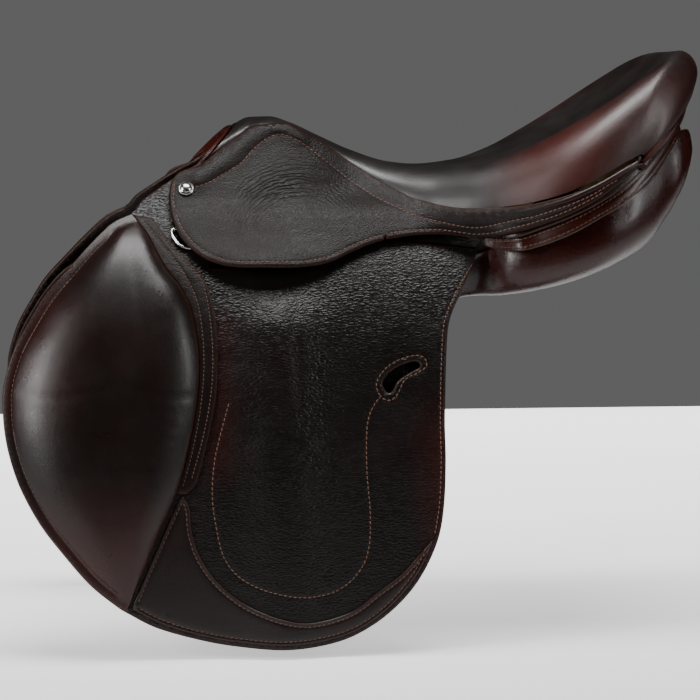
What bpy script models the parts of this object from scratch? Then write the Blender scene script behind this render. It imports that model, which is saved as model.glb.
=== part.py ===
"""English jumping saddle: tree, seat, skirts, flaps, panels, billets and fittings, each its own solid.
Millimetres in the constants, metres in the scene. The pommel is at -X, the left side at -Y, +Z is up."""
import math

import bmesh
import bpy
import numpy as np
from mathutils import Vector
from mathutils.geometry import delaunay_2d_cdt

MM = 0.001
LEFT, RIGHT = -1, 1
SIDES = ((LEFT, "left"), (RIGHT, "right"))

# Drape: half-width of the flap's outer face at a height, falling away as one curve over the horse's side.
DRAPE_TOP_Z = 70.0
DRAPE_TOP_HALF = 78.0
DRAPE_SPREAD = 105.0
DRAPE_FALL = 110.0
SHOULDER_SLOPE = 0.72
TWIST_NARROWING = 14.0
REAR_WIDENING = 70.0
FRONT_NARROWING = 18.0

# Layers, as depths in from the flap's outer face. A negative depth is outside it.
FLAP = 4.5
SKIRT_INNER, SKIRT_OUTER = -4.2, -7.7
GUARD_OUT = (5.6, 7.6)
BILLET = (9.2, 12.2)
GUARD_IN = (13.8, 15.6)
BILLET_WEB = (13.5, 15.3)
SWEAT = (16.5, 19.0)
BLOCK = (6.0, 15.9)
SLIVER = 1e-4                  # least cell area, in grid cells
SHARP = math.radians(35)       # edges flatter than this are shaded smooth
LAY = 0.5                      # air kept between two leathers that lie on each other

# Seat, by station from the pommel (0) to the rear rim (1).
STATION = (0, .06, .12, .18, .26, .34, .42, .50, .58, .66, .74, .82, .90, .95, 1)
WELT_X = (-130, -104, -82, -60, -35, -8, 20, 50, 85, 118, 150, 182, 210, 219, 222)
WELT_Z = (100, 119, 132.5, 134, 122, 104, 86.5, 71.5, 66, 69, 76.5, 90, 105, 109, 108)
CENTRE_X = (-96, -84, -68, -52, -28, 0, 30, 62, 98, 132, 170, 210, 250, 274, 295)
CENTRE_Z = (136, 141, 141.5, 137, 126, 113.5, 104, 100, 100, 105, 117, 139, 176, 196, 171)
CREST_Z = (136, 141, 141.5, 137, 126, 113.5, 104.2, 101, 104, 114, 132, 155, 181, 196, 171)
CREST_AT = (.02, .02, .02, .02, .05, .10, .20, .32, .42, .46, .48, .48, .42, .2, .02)
COVER = 3.5
FOAM_GAP = 1.6
FOAM_DEEP = 13.0

# Bend line of flap and skirt: straight, over the stirrup bar.
BEND_FRONT = (-185.0, 65.0)
BEND_REAR = (111.0, 34.0)

# Stirrup bar.
BAR_X = (-120.0, -52.0)
BAR_Z = (34.0, 44.0)
BAR_BACK = (78.0, 82.0)
BAR_BLADE = (90.0, 96.0)
BAR_TAIL_X = -41.0
CATCH_PIN = (-46.0, 80.0)
CATCH_PIN_R = 1.7
CATCH_THICK = 3.0

# Straps under the flap.
BILLET_X = (-57.0, -19.0, 19.0)
BILLET_WIDE = 25.0
BILLET_TOP, BILLET_END = 27.0, -222.0
HOLE_PITCH, HOLES, HOLE_R = 24.0, 5, 2.4
GUARD_X = (-95.0, 51.0)
GUARD_Z = (-166.0, -120.0)


def smooth(t):
    t = min(max(t, 0.0), 1.0)
    return t * t * (3 - 2 * t)


def along(knots, values, at):
    """A smooth curve through the values that never overshoots them."""
    k, v = np.asarray(knots, float), np.asarray(values, float)
    slope = np.diff(v) / np.diff(k)
    tangent = np.zeros(len(k))
    for i in range(1, len(k) - 1):
        if slope[i - 1] * slope[i] > 0:
            tangent[i] = 2 * slope[i - 1] * slope[i] / (slope[i - 1] + slope[i])
    tangent[0], tangent[-1] = slope[0], slope[-1]
    i = int(min(max(np.searchsorted(k, at) - 1, 0), len(k) - 2))
    wide = k[i + 1] - k[i]
    t = (at - k[i]) / wide
    return float((1 + 2 * t) * (1 - t) ** 2 * v[i] + t * (1 - t) ** 2 * wide * tangent[i]
                 + t * t * (3 - 2 * t) * v[i + 1] - t * t * (1 - t) * wide * tangent[i + 1])


def half_width(x, z):
    """Half-width of the flap's outer face."""
    rear = smooth((x - 80) / 60)
    level = z + (78 + 0.4 * (z - 78) - z) * rear
    if level > DRAPE_TOP_Z:
        half = DRAPE_TOP_HALF - SHOULDER_SLOPE * (level - DRAPE_TOP_Z)
    else:
        half = DRAPE_TOP_HALF + DRAPE_SPREAD * (1 - math.exp((level - DRAPE_TOP_Z) / DRAPE_FALL))
    half -= TWIST_NARROWING * math.exp(-(x / 35) ** 2) * smooth((z - 55) / 30)
    high = 1 - (1 - smooth((z - 34) / 30)) * (1 - smooth((x - 85) / 40))
    half += REAR_WIDENING * smooth((x - 30) / 150) * high
    half -= 0.006 * max(0.0, x - 190) ** 2
    return half - FRONT_NARROWING * (max(0.0, -x - 170) / 130) ** 2


def surface(point, outward):
    """A place(a, b, depth) on the surface point(a, b), with the depth measured in along its normal."""
    def place(a, b, depth):
        here, step = point(a, b), 1e-3
        normal = ((point(a + step, b) - point(a - step, b)) / step).cross(
            (point(a, b + step) - point(a, b - step)) / step).normalized()
        if normal.dot(outward) < 0:
            normal = -normal
        return here - normal * depth
    return place


def drape(side):
    return surface(lambda x, z: Vector((x, side * half_width(x, z), z)), Vector((0, side, 0.3)))


def seat_point(s, q):
    """A point of the seat's outer face: s from pommel to rear rim, q from the left welt (-1) to the right (1)."""
    s = min(max(s, 0.0), 1.0)
    angle = q * math.pi / 2
    crest = along(STATION, CREST_AT, s)
    welt_x, welt_z = along(STATION, WELT_X, s), along(STATION, WELT_Z, s)
    centre_z, crest_z = along(STATION, CENTRE_Z, s), along(STATION, CREST_Z, s)
    half = half_width(welt_x, welt_z) - SKIRT_OUTER - 2.5
    x = welt_x + (along(STATION, CENTRE_X, s) - welt_x) * math.cos(angle)
    if abs(q) <= crest:
        z = centre_z + (crest_z - centre_z) * smooth(abs(q) / crest)
    else:
        z = welt_z + (crest_z - welt_z) * math.cos((abs(q) - crest) / (1 - crest) * math.pi / 2)
    return Vector((x, half * math.sin(angle), z))


seat = surface(seat_point, Vector((0, 0, 1)))


def bend_z(x):
    t = (x - BEND_FRONT[0]) / (BEND_REAR[0] - BEND_FRONT[0])
    return BEND_FRONT[1] + t * (BEND_REAR[1] - BEND_FRONT[1])


def finish(name, bm, material, origin=None):
    """The object of a bmesh in millimetres, with its origin at the joint if it has one."""
    bmesh.ops.recalc_face_normals(bm, faces=bm.faces)
    origin = Vector(origin) if origin is not None else Vector((0, 0, 0))
    for vert in bm.verts:
        vert.co = (vert.co - origin) * MM
    mesh = bpy.data.meshes.new(name)
    bm.to_mesh(mesh)
    bm.free()
    mesh.materials.append(MATERIALS[material](name))
    mesh.shade_smooth()
    mesh.set_sharp_from_angle(angle=SHARP)
    obj = bpy.data.objects.new(name, mesh)
    obj.location = origin * MM
    bpy.context.collection.objects.link(obj)
    return obj


def leather_colour(red, green, blue, rough, metal=0.0):
    def make(name):
        material = bpy.data.materials.new(name)
        material.use_nodes = True
        shader = material.node_tree.nodes["Principled BSDF"]
        shader.inputs["Base Color"].default_value = (red, green, blue, 1)
        shader.inputs["Roughness"].default_value = rough
        shader.inputs["Metallic"].default_value = metal
        material.diffuse_color = (red, green, blue, 1)
        return material
    return make


MATERIALS = {
    "grain": leather_colour(0.018, 0.012, 0.010, 0.45),
    "smooth": leather_colour(0.026, 0.014, 0.011, 0.3),
    "mahogany": leather_colour(0.08, 0.025, 0.015, 0.35),
    "steel": leather_colour(0.6, 0.6, 0.6, 0.25, 1.0),
    "wood": leather_colour(0.45, 0.3, 0.16, 0.6),
    "web": leather_colour(0.6, 0.55, 0.45, 0.9),
    "foam": leather_colour(0.75, 0.7, 0.55, 0.95),
}


def rounded(points, step):
    """A closed outline through (a, b) points, smooth except at those given with a third entry."""
    count = len(points)
    out = []
    for i in range(count):
        p0, p1, p2, p3 = (points[(i + k) % count] for k in (-1, 0, 1, 2))
        a, b = Vector(p1[:2]), Vector(p2[:2])
        start = (b - a) if len(p1) > 2 else (b - Vector(p0[:2])) / 2
        end = (b - a) if len(p2) > 2 else (Vector(p3[:2]) - a) / 2
        reach = (b - a).length
        for tangent in (start, end):
            if tangent.length > 1.2 * reach:
                tangent *= 1.2 * reach / tangent.length
        pieces = max(1, math.ceil(reach / step))
        for k in range(pieces):
            t = k / pieces
            out.append((2 * t ** 3 - 3 * t ** 2 + 1) * a + (t ** 3 - 2 * t ** 2 + t) * start
                       + (3 * t ** 2 - 2 * t ** 3) * b + (t ** 3 - t ** 2) * end)
    return out


def inside(loop, a, b):
    hit = False
    for p, q in zip(loop, loop[1:] + loop[:1]):
        if (p[1] > b) != (q[1] > b) and a < (q[0] - p[0]) * (b - p[1]) / (q[1] - p[1]) + p[0]:
            hit = not hit
    return hit


def edge_distance(loops, a, b):
    here, best = Vector((a, b)), 1e9
    for loop in loops:
        for p, q in zip(loop, loop[1:] + loop[:1]):
            run = q - p
            t = min(max((here - p).dot(run) / max(run.length_squared, 1e-9), 0), 1)
            best = min(best, (here - p - run * t).length)
    return best


def sheet(name, place, edge, outer, inner, material, pitch, holes=(), origin=None):
    """A closed piece between two depths of a surface, inside an outline drawn on it.
    The depths are numbers, or functions of (a, b, distance from the edge)."""
    loops = [list(edge)] + [list(hole) for hole in holes]
    points, links = [], []
    for loop in loops:
        first = len(points)
        points += [Vector(p) for p in loop]
        links += [(first + k, first + (k + 1) % len(loop)) for k in range(len(loop))]
    low = [min(p[k] for p in loops[0]) for k in (0, 1)]
    high = [max(p[k] for p in loops[0]) for k in (0, 1)]
    for i in range(math.floor(low[0] / pitch[0]), math.ceil(high[0] / pitch[0]) + 1):
        for j in range(math.floor(low[1] / pitch[1]), math.ceil(high[1] / pitch[1]) + 1):
            a, b = i * pitch[0], j * pitch[1]
            in_hole = any(inside(hole, a, b) for hole in loops[1:])
            if inside(loops[0], a, b) and not in_hole and edge_distance(loops, a, b) > 0.4 * min(pitch):
                points.append(Vector((a, b)))
    # The triangles are laid out on evenly stretched axes, so that long cells stay well shaped.
    squeeze = [Vector((p[0] / pitch[0], p[1] / pitch[1])) for p in points]
    flat, _, triangles, *_ = delaunay_2d_cdt(squeeze, links, [], 0, 1e-7)
    spots = [(p[0] * pitch[0], p[1] * pitch[1]) for p in flat]
    kept = []
    for triangle in triangles:
        one, two, three = (flat[i] for i in triangle)
        if abs((two - one).cross(three - one)) < SLIVER:
            continue
        a = sum(spots[i][0] for i in triangle) / 3
        b = sum(spots[i][1] for i in triangle) / 3
        if inside(loops[0], a, b) and not any(inside(hole, a, b) for hole in loops[1:]):
            kept.append(tuple(triangle))
    used = {}
    bm = bmesh.new()
    for i in sorted({i for triangle in kept for i in triangle}):
        a, b = spots[i]
        away = edge_distance(loops, a, b) if callable(outer) or callable(inner) else 0
        depths = [d(a, b, away) if callable(d) else d for d in (outer, inner)]
        used[i] = [bm.verts.new(place(a, b, d)) for d in depths]
    rim = {}
    for triangle in kept:
        bm.faces.new([used[i][0] for i in triangle])
        bm.faces.new([used[i][1] for i in reversed(triangle)])
        for p, q in zip(triangle, triangle[1:] + triangle[:1]):
            rim[frozenset((p, q))] = None if frozenset((p, q)) in rim else (p, q)
    for pair in rim.values():
        if pair:
            p, q = pair
            bm.faces.new([used[q][0], used[p][0], used[p][1], used[q][1]])
    return finish(name, bm, material, origin)


def patch(name, place, across, along_it, outer, inner, material):
    """A closed piece between two depths of a surface, on a regular net that mirrors about across = 0."""
    bm = bmesh.new()
    net = []
    for depth in (outer, inner):
        net.append([[bm.verts.new(place(a, b, depth(a, b) if callable(depth) else depth)) for b in along_it]
                    for a in across])
    rows, columns = len(across), len(along_it)
    for side_net in net:
        for i in range(rows - 1):
            for j in range(columns - 1):
                one, two, three, four = (side_net[i][j], side_net[i + 1][j], side_net[i + 1][j + 1],
                                         side_net[i][j + 1])
                if along_it[j] + along_it[j + 1] < 0:
                    corners = ((one, two, three), (one, three, four))
                else:
                    corners = ((one, two, four), (two, three, four))
                for triangle in corners:
                    bm.faces.new(triangle)
    ring = [(0, j) for j in range(columns)] + [(i, columns - 1) for i in range(1, rows)]
    ring += [(rows - 1, j) for j in range(columns - 2, -1, -1)] + [(i, 0) for i in range(rows - 2, 0, -1)]
    for (i, j), (m, n) in zip(ring, ring[1:] + ring[:1]):
        bm.faces.new([net[0][i][j], net[0][m][n], net[1][m][n]])
        bm.faces.new([net[0][i][j], net[1][m][n], net[1][i][j]])
    return finish(name, bm, material)


def loft(name, rings, material, closed=False, origin=None):
    """A closed body through rings of the same count."""
    bm = bmesh.new()
    verts = [[bm.verts.new(Vector(p)) for p in ring] for ring in rings]
    count = len(verts[0])
    spans = list(zip(verts, verts[1:])) + ([(verts[-1], verts[0])] if closed else [])
    for one, two in spans:
        for k in range(count):
            n = (k + 1) % count
            bm.faces.new([one[k], one[n], two[n], two[k]])
    if not closed:
        bm.faces.new(list(reversed(verts[0])))
        bm.faces.new(verts[-1])
    bmesh.ops.triangulate(bm, faces=[f for f in bm.faces if len(f.verts) > 3])
    return finish(name, bm, material, origin)


def spline(points, count, closed=False):
    """Evenly indexed points on a smooth path through the given ones."""
    points = [Vector(p) for p in points]
    total, out = len(points), []
    spans = total if closed else total - 1
    for i in range(spans):
        if closed:
            p0, p1, p2, p3 = (points[(i + k) % total] for k in (-1, 0, 1, 2))
        else:
            p0, p1, p2, p3 = (points[min(max(i + k, 0), total - 1)] for k in (-1, 0, 1, 2))
        for k in range(count):
            t = k / count
            out.append(0.5 * (2 * p1 + (p2 - p0) * t + (2 * p0 - 5 * p1 + 4 * p2 - p3) * t * t
                              + (3 * p1 - p0 - 3 * p2 + p3) * t ** 3))
    return out if closed else out + [points[-1]]


def bar(name, path, across, section, material, closed=False, origin=None):
    """A section (wide, thick offsets) carried along a path, kept square to the across direction."""
    rings = []
    total = len(path)
    for i, here in enumerate(path):
        before = path[(i - 1) % total] if closed or i else here
        after = path[(i + 1) % total] if closed or i < total - 1 else here
        run = (after - before).normalized()
        wide = across(i) if callable(across) else Vector(across)
        wide = (wide - run * wide.dot(run)).normalized()
        thick = run.cross(wide)
        rings.append([here + wide * w + thick * t for w, t in section])
    return loft(name, rings, material, closed, origin)


def round_section(radius, sides):
    return [(radius * math.cos(2 * math.pi * k / sides), radius * math.sin(2 * math.pi * k / sides))
            for k in range(sides)]


def flat_section(wide, thick):
    return [(wide / 2, thick / 2), (-wide / 2, thick / 2), (-wide / 2, -thick / 2), (wide / 2, -thick / 2)]


def prism(name, outline, low, high, material, holes=(), origin=None):
    """A flat plate with its outline in plan."""
    flat = lambda a, b, height: Vector((a, b, height))
    return sheet(name, flat, [Vector(p) for p in outline], high, low, material, (400, 400), holes, origin)


def circle(x, y, radius, sides):
    return [Vector((x + a, y + b)) for a, b in round_section(radius, sides)]


# ---------------------------------------------------------------- outlines on the drape, as (x, z)
SKIRT_LOW = ((-154, 60), (-152, 45), (-139, 29), (-121, 20), (-86, 16), (-54, 18), (-22, 28), (5, 37))
SKIRT_REAR_LOW = ((29, 44.5), (60, 47.5), (88, 46), (112, 46), (138, 52), (164, 61.5), (191, 75))
SKIRT_FRONT = ((-140, 90), (-153, 76))
FLAP_FRONT = ((-187, 67.7), (-218.6, 47), (-242.7, 21), (-260, -6), (-274.5, -37), (-284, -60), (-288, -83),
              (-287, -110), (-279, -137), (-268, -158), (-252, -179), (-233, -203), (-214, -225), (-195, -242.5))
FLAP_HEM = ((-175, -252), (-152, -260), (-121, -268), (-90, -272.5), (-58, -274), (-27, -270), (-3, -260),
            (17, -245), (33, -225), (46.5, -200), (55, -175), (58.5, -143), (59, -112), (60.5, -81), (65.5, -39),
            (72, -12), (80, 11), (89, 28))
KNEE_REAR = ((-180, 54), (-172, 44), (-160, 22), (-149, 8), (-141, -8), (-136, -30), (-134, -52), (-136, -78),
             (-143, -115), (-154, -151), (-170, -187), (-184, -218), (-190, -240))
CUFF = ((-149, -154), (-155, -164), (-172, -200), (-186, -240, 1), (-150, -259), (-121, -266), (-90, -269.5),
        (-58, -271), (-28, -267), (-5, -257), (15, -242), (30, -223), (43, -204), (46, -193, 1), (36, -200),
        (22, -216), (3, -230), (-19, -244), (-49, -251), (-76, -247), (-101, -236), (-121, -220), (-135, -200),
        (-141, -182), (-143, -166))
SLOT = ((15, -74), (10, -69), (14, -60), (24, -53), (38, -51), (39, -56), (30, -61), (21, -68))
NOTCH = ((-124, 22), (-37, 22))

for obj in list(bpy.data.objects):
    bpy.data.objects.remove(obj, do_unlink=True)


def build_tree():
    ring = [(-79, 0, 118), (-76, 19, 113), (-45, 25, 94), (0, 32, 68), (50, 48, 53), (100, 74, 51),
            (150, 90, 62), (200, 84, 87), (234, 56, 112), (247, 0, 127)]
    ring = ring + [(x, -y, z) for x, y, z in ring[-2:0:-1]]
    path = spline(ring, 3, closed=True)
    spread = lambda i: (path[(i + 1) % len(path)] - path[i - 1]).cross(Vector((0, 0, 1)))
    bar("tree_frame", path, spread, flat_section(26, 9), "wood", closed=True)
    arch = [(-84, 0, 106), (-85, 22, 97), (-87, 40, 80), (-88, 58, 57), (-88, 71, 41)]
    arch = [(x, -y, z) for x, y, z in arch[:0:-1]] + arch
    bar("gullet_plate", spline(arch, 2), (1, 0, 0), flat_section(24, 3), "steel")
    cap = [(-78, -16, 122.5), (-78, 0, 126), (-78, 16, 122.5)]
    bar("head_plate", spline(cap, 3), (1, 0, 0), flat_section(22, 2), "steel")
    for side, word in SIDES:
        rail = [Vector((p.x, side * abs(p.y), p.z + 7.0)) for p in path[5:17]]
        bar(f"spring_strip_{word}", rail, (0, 1, 0), flat_section(12, 1.4), "steel")
    web = [seat_point(s, 0) - Vector((0, 0, 23)) for s in np.linspace(0.16, 0.80, 13)]
    bar("seat_web_long", web, (0, 1, 0), flat_section(30, 1.6), "web")
    cross = [seat_point(0.52, q) for q in np.linspace(-0.32, 0.32, 7)]
    cross = [Vector((p.x, p.y, 59 + 13 * smooth(1 - abs(p.y) / 60))) for p in cross]
    bar("seat_web_cross", cross, (1, 0, 0), flat_section(40, 1.6), "web")


def build_seat():
    def foam_depth(s, q):
        return COVER + FOAM_GAP + FOAM_DEEP * (1 - 0.6 * abs(q) ** 2) * smooth(s / 0.3 + 0.45)

    patch("seat_cover", seat, np.linspace(0, 1, 27), np.linspace(-.97, .97, 17), 0, COVER, "smooth")
    patch("seat_foam", seat, np.linspace(.16, .87, 18), np.linspace(-.72, .72, 13), COVER + FOAM_GAP, foam_depth,
          "foam")

    def pommel(t, q):
        top = seat_point(0, q) + Vector((-4, 0, -5))
        low = Vector((-97 - 34 * (1 - math.cos(q * math.pi / 2)), top.y * 0.84, top.z - 13))
        return top.lerp(low, t)

    patch("pommel_facing", surface(pommel, Vector((-1, 0, 0))), (0, .5, 1), np.linspace(-.83, .83, 15), -1.2, 1.2,
          "mahogany")

    def back(t, q):
        round_rear = math.cos(q * math.pi / 2)
        top = seat_point(1, q) + Vector((-6, 0, -7.5))
        low = Vector((222 + 44 * round_rear, top.y * 0.82, 106 + 28 * round_rear))
        return top.lerp(low, t)

    patch("cantle_back", surface(back, Vector((1, 0, -0.3))), (0, .5, 1), np.linspace(-.9, .9, 17), -1.5, 1.5,
          "mahogany")
    for side, word in SIDES:
        path = [seat_point(s, side) + Vector((0, side * 3.8, -5.6)) for s in np.linspace(0.0, 0.93, 34)]
        bar(f"seat_piping_{word}", path, (0, 1, 0), round_section(1.8, 6), "mahogany")


def build_side(side, word):
    place = drape(side)
    front = place(-153, bend_z(-153), SKIRT_OUTER)
    rear = place(18, bend_z(18), SKIRT_OUTER)
    middle = (front + rear) / 2

    # Skirt: the part above the bend line stays put, the lobe below it lifts.
    welt = [(x, z - (12.5 if x < 100 else 11)) for x, z in zip(WELT_X, WELT_Z)][:-1]
    fixed = [(18, bend_z(18) + .6, 1), (-153, bend_z(-153) + .6, 1)] + [SKIRT_FRONT[1], (*SKIRT_FRONT[0], 1)]
    fixed += [(*welt[0], 1)] + welt[1:-1] + [(*welt[-1], 1), (220, 96)]
    fixed += [p for p in reversed(SKIRT_REAR_LOW)]
    sheet(f"skirt_{word}", place, rounded(fixed, 20), SKIRT_OUTER, SKIRT_INNER, "grain", (26, 18))
    lobe = [(-153.5, bend_z(-153), 1)] + list(SKIRT_LOW) + [(18, bend_z(18), 1)]
    sheet(f"skirt_lobe_{word}", place, rounded(lobe, 16), SKIRT_OUTER, SKIRT_INNER, "grain", (26, 18),
          origin=middle)

    # Stud through the skirt's front corner.
    base, tip = place(-141, 79, SKIRT_OUTER - LAY), place(-141, 79, SKIRT_OUTER - 5)
    out = (tip - base).normalized()
    rings = [(6.2, 0), (6.2, 1.2), (4.4, 3.2), (1.8, 4.2)]
    turn = out.to_track_quat("Z", "Y")
    loft(f"skirt_stud_{word}", [[base + turn @ Vector((r * c, r * s, h)) for c, s in round_section(1, 12)]
                                for r, h in rings], "steel")

    # Flap: its top stays on the tree, the rest lifts about the same line.
    top = [(90, bend_z(90) + .6, 1), (96, 44)] + [(60, 51), (20, 54)] + [(-36, 62, 1)]
    top += [(-36, bend_z(-36) + .6, 1)]
    sheet(f"flap_top_{word}", place, rounded(top, 20), 0, FLAP, "grain", (26, 16))
    apron = [(-184, bend_z(-184) + .6, 1), (-170, 80), (-152, 91), (-138, 98, 1), (-129, 92, 1),
             (-119, bend_z(-119) + .6, 1)]
    sheet(f"front_apron_{word}", place, rounded(apron, 20), 0, FLAP, "grain", (26, 16))
    flap = [(-185, bend_z(-185), 1)] + list(FLAP_FRONT[1:]) + list(FLAP_HEM)
    flap += [(90, bend_z(90), 1), (NOTCH[1][0], bend_z(NOTCH[1][0]), 1), (*NOTCH[1], 1), (*NOTCH[0], 1)]
    flap += [(NOTCH[0][0], bend_z(NOTCH[0][0]), 1)]
    slot = rounded(list(SLOT), 12)
    sheet(f"flap_{word}", place, rounded(flap, 24), 0, FLAP, "grain", (32, 22), [slot], origin=middle)
    knee = [(-188, 56, 1)] + [(x + 4, z) for x, z in FLAP_FRONT[1:-1]] + [(-190, -240, 1)]
    knee += list(reversed(KNEE_REAR[:-1]))

    def bulge(x, z, away):
        return -LAY - 2.5 - 11 * smooth(away / 22) ** 0.8
    sheet(f"knee_pad_{word}", place, rounded(knee, 24), bulge, -LAY, "smooth", (16, 22), origin=middle)
    sheet(f"flap_cuff_{word}", place, rounded(list(CUFF), 26), -LAY - 1.5, -LAY, "smooth", (32, 22), origin=middle)

    # Front ring in its chape, on the flap under the skirt's front edge.
    chape = [(-150, 60, 1), (-136, 58.6, 1), (-137, 53.4, 1), (-151, 54, 1)]
    sheet(f"d_ring_chape_{word}", place, rounded(chape, 20), -LAY - 2, -LAY, "grain", (40, 40), origin=middle)
    hub = place(-144, 50, -2.2)
    loop = [(-154, 50), (-134, 50), (-133, 40), (-139, 36), (-149, 39)]
    path = [place(x, z, -2.2) for x, z in rounded(loop, 9)]
    bar(f"d_ring_{word}", path, place(-144, 50, -3) - place(-144, 50, 0), round_section(1.3, 6), "steel", True, hub)

    # Sweat flap, with the knee block on it.
    sweat = [(-200, 44, 1)] + list(FLAP_FRONT[2:]) + list(FLAP_HEM[:-4]) + [(56, -30), (56, 18, 1)]
    sweat += [(-125, 14), (-150, 22), (-175, 40)]
    sheet(f"sweat_flap_{word}", place, rounded(sweat, 26), *SWEAT, "grain", (34, 22))
    block = [(-196, 18), (-226, -8), (-244, -50), (-246, -100), (-232, -128), (-214, -122), (-206, -80), (-196, -30)]
    swell = lambda x, z, away: BLOCK[1] - 3 - (BLOCK[1] - BLOCK[0] - 3) * smooth(away / 10)
    sheet(f"knee_block_{word}", place, rounded(block, 22), swell, BLOCK[1], "smooth", (18, 22))

    # Billets on their web, and the guard round them.
    web = [(-69, 12, 1), (31, 12, 1), (31, 27, 1), (-69, 27, 1)]
    sheet(f"billet_web_{word}", place, rounded(web, 24), *BILLET_WEB, "web", (40, 22))
    for x, which in zip(BILLET_X, ("front", "middle", "rear")):
        w = BILLET_WIDE / 2
        strap = [(x - w, BILLET_TOP, 1), (x + w, BILLET_TOP, 1), (x + w, BILLET_END + 14, 1),
                 (x + 4, BILLET_END, 1), (x - 4, BILLET_END, 1), (x - w, BILLET_END + 14, 1)]
        holes = [circle(x, BILLET_END + 30 + HOLE_PITCH * k, HOLE_R, 6) for k in range(HOLES)]
        sheet(f"billet_{which}_{word}", place, rounded(strap, 22), *BILLET, "grain", (400, 22), holes,
              origin=place(x, BILLET_TOP - 6, BILLET[0]))
    build_guard(place, word)

    # Panel, a stuffed cushion along the tree.
    stations = ((-170, 44, 74, 72, 40, 8), (-152, 34, 86, 86, 16, 18), (-118, 30, 88, 97, 0, 21),
                (-86, 29, 86, 98, -2, 22), (-40, 30, 70, 98, -2, 23), (0, 34, 54, 98, -2, 24),
                (40, 36, 42, 98, -2, 26), (62, 36, 41, 100, 6, 30), (80, 36, 41, 96, 24, 35),
                (97, 36, 41, 98, 33, 39), (114, 36, 42, 118, 39, 42), (137, 36, 44, 129, 45, 43),
                (162, 36, 48, 135, 55, 45), (187, 37, 56, 136, 67, 47), (211, 38, 66, 129, 80, 48),
                (236, 38, 82, 112, 100, 51), (254, 41, 103, 96, 123, 53), (266, 46, 116, 86, 135, 48),
                (273, 52, 121, 80, 138, 34), (277, 58, 121, 74, 136, 18))
    rings = []
    for x, in_half, in_z, out_half, out_z, thick in stations:
        a, b = Vector((in_half, in_z)), Vector((out_half, out_z))
        down = Vector((b.y - a.y, a.x - b.x)).normalized()
        profile = [(0, .1), (.04, 0), (.5, 0), (.96, 0), (1, .1), (1.02, .5), (.96, .85), (.78, 1), (.5, 1.04),
                   (.22, 1), (.04, .85), (-.02, .5)]
        rings.append([Vector((x, side * (a + (b - a) * u + down * thick * d).x, (a + (b - a) * u + down * thick * d).y))
                      for u, d in profile])
    loft(f"panel_{word}", rings, "smooth")
    facing = [(99, 45, 1), (128, 49), (163, 62), (191, 77), (206, 85), (224, 99), (236, 111), (241, 117, 1),
              (247, 111, 1), (241, 104), (229, 91), (210, 75), (183, 58), (155, 45), (128, 37), (111, 34, 1)]
    sheet(f"rear_facing_{word}", place, rounded(facing, 18), 0.4, 2.6, "mahogany", (24, 14))

    # Stirrup bar with its hinged safety catch.
    hook = [(BAR_X[0], BAR_BACK[0]), (BAR_X[0], BAR_BLADE[1]), (BAR_X[1], BAR_BLADE[1]), (BAR_X[1], BAR_BLADE[0]),
            (BAR_X[0] + 8, BAR_BLADE[0]), (BAR_X[0] + 8, BAR_BACK[1]), (BAR_TAIL_X, BAR_BACK[1]),
            (BAR_TAIL_X, BAR_BACK[0])]
    body = prism(f"stirrup_bar_{word}", [(x, side * h) for x, h in hook], *BAR_Z, "steel")
    x, h = CATCH_PIN
    pin = prism(f"catch_pin_cutter_{word}", circle(x, side * h, CATCH_PIN_R, 10), BAR_Z[0] - 4.2, BAR_Z[0] + 3,
                "steel")
    pin.hide_render, pin.display_type = True, "WIRE"
    join = body.modifiers.new("pin", "BOOLEAN")
    join.operation, join.solver, join.object = "UNION", "EXACT", pin
    lever = [(x - 4, h - 3.5), (x + 4, h - 3.5), (x + 4, h + 15), (x + 1, h + 17), (x - 4, h + 16)]
    prism(f"bar_catch_{word}", [(a, side * b) for a, b in lever], BAR_Z[0] - 0.6 - CATCH_THICK, BAR_Z[0] - 0.6,
          "steel", [circle(x, side * h, CATCH_PIN_R + 0.5, 10)], (x, side * h, BAR_Z[0] - 2))


def build_guard(place, word):
    """A flat leather loop round the three billets, sliding up them."""
    low, high = GUARD_Z
    loop_out = [(GUARD_X[0], GUARD_OUT[0]), (GUARD_X[1], GUARD_OUT[0]), (GUARD_X[1], GUARD_IN[1]),
                (GUARD_X[0], GUARD_IN[1])]
    wall = 3.0
    loop_in = [(GUARD_X[0] + wall, GUARD_OUT[1]), (GUARD_X[1] - wall, GUARD_OUT[1]),
               (GUARD_X[1] - wall, GUARD_IN[0]), (GUARD_X[0] + wall, GUARD_IN[0])]
    levels = [low, (low + high) / 2, high]
    origin = place((GUARD_X[0] + GUARD_X[1]) / 2, (low + high) / 2, GUARD_OUT[0])
    bm = bmesh.new()
    shells = [[[bm.verts.new(place(x, z, d)) for x, d in loop] for z in levels] for loop in (loop_out, loop_in)]
    for rows, flip in ((shells[0], 1), (shells[1], -1)):
        for one, two in zip(rows, rows[1:]):
            for k in range(4):
                face = [one[k], one[(k + 1) % 4], two[(k + 1) % 4], two[k]]
                bm.faces.new(face[::flip])
    for end in (0, -1):
        for k in range(4):
            bm.faces.new([shells[0][end][k], shells[0][end][(k + 1) % 4], shells[1][end][(k + 1) % 4],
                          shells[1][end][k]])
    bmesh.ops.triangulate(bm, faces=bm.faces)
    finish(f"billet_guard_{word}", bm, "grain", origin)


build_tree()
build_seat()
for near, called in SIDES:
    build_side(near, called)
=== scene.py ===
import math

import bmesh
import bpy
import numpy as np
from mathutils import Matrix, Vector
from mathutils.geometry import delaunay_2d_cdt


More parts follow.
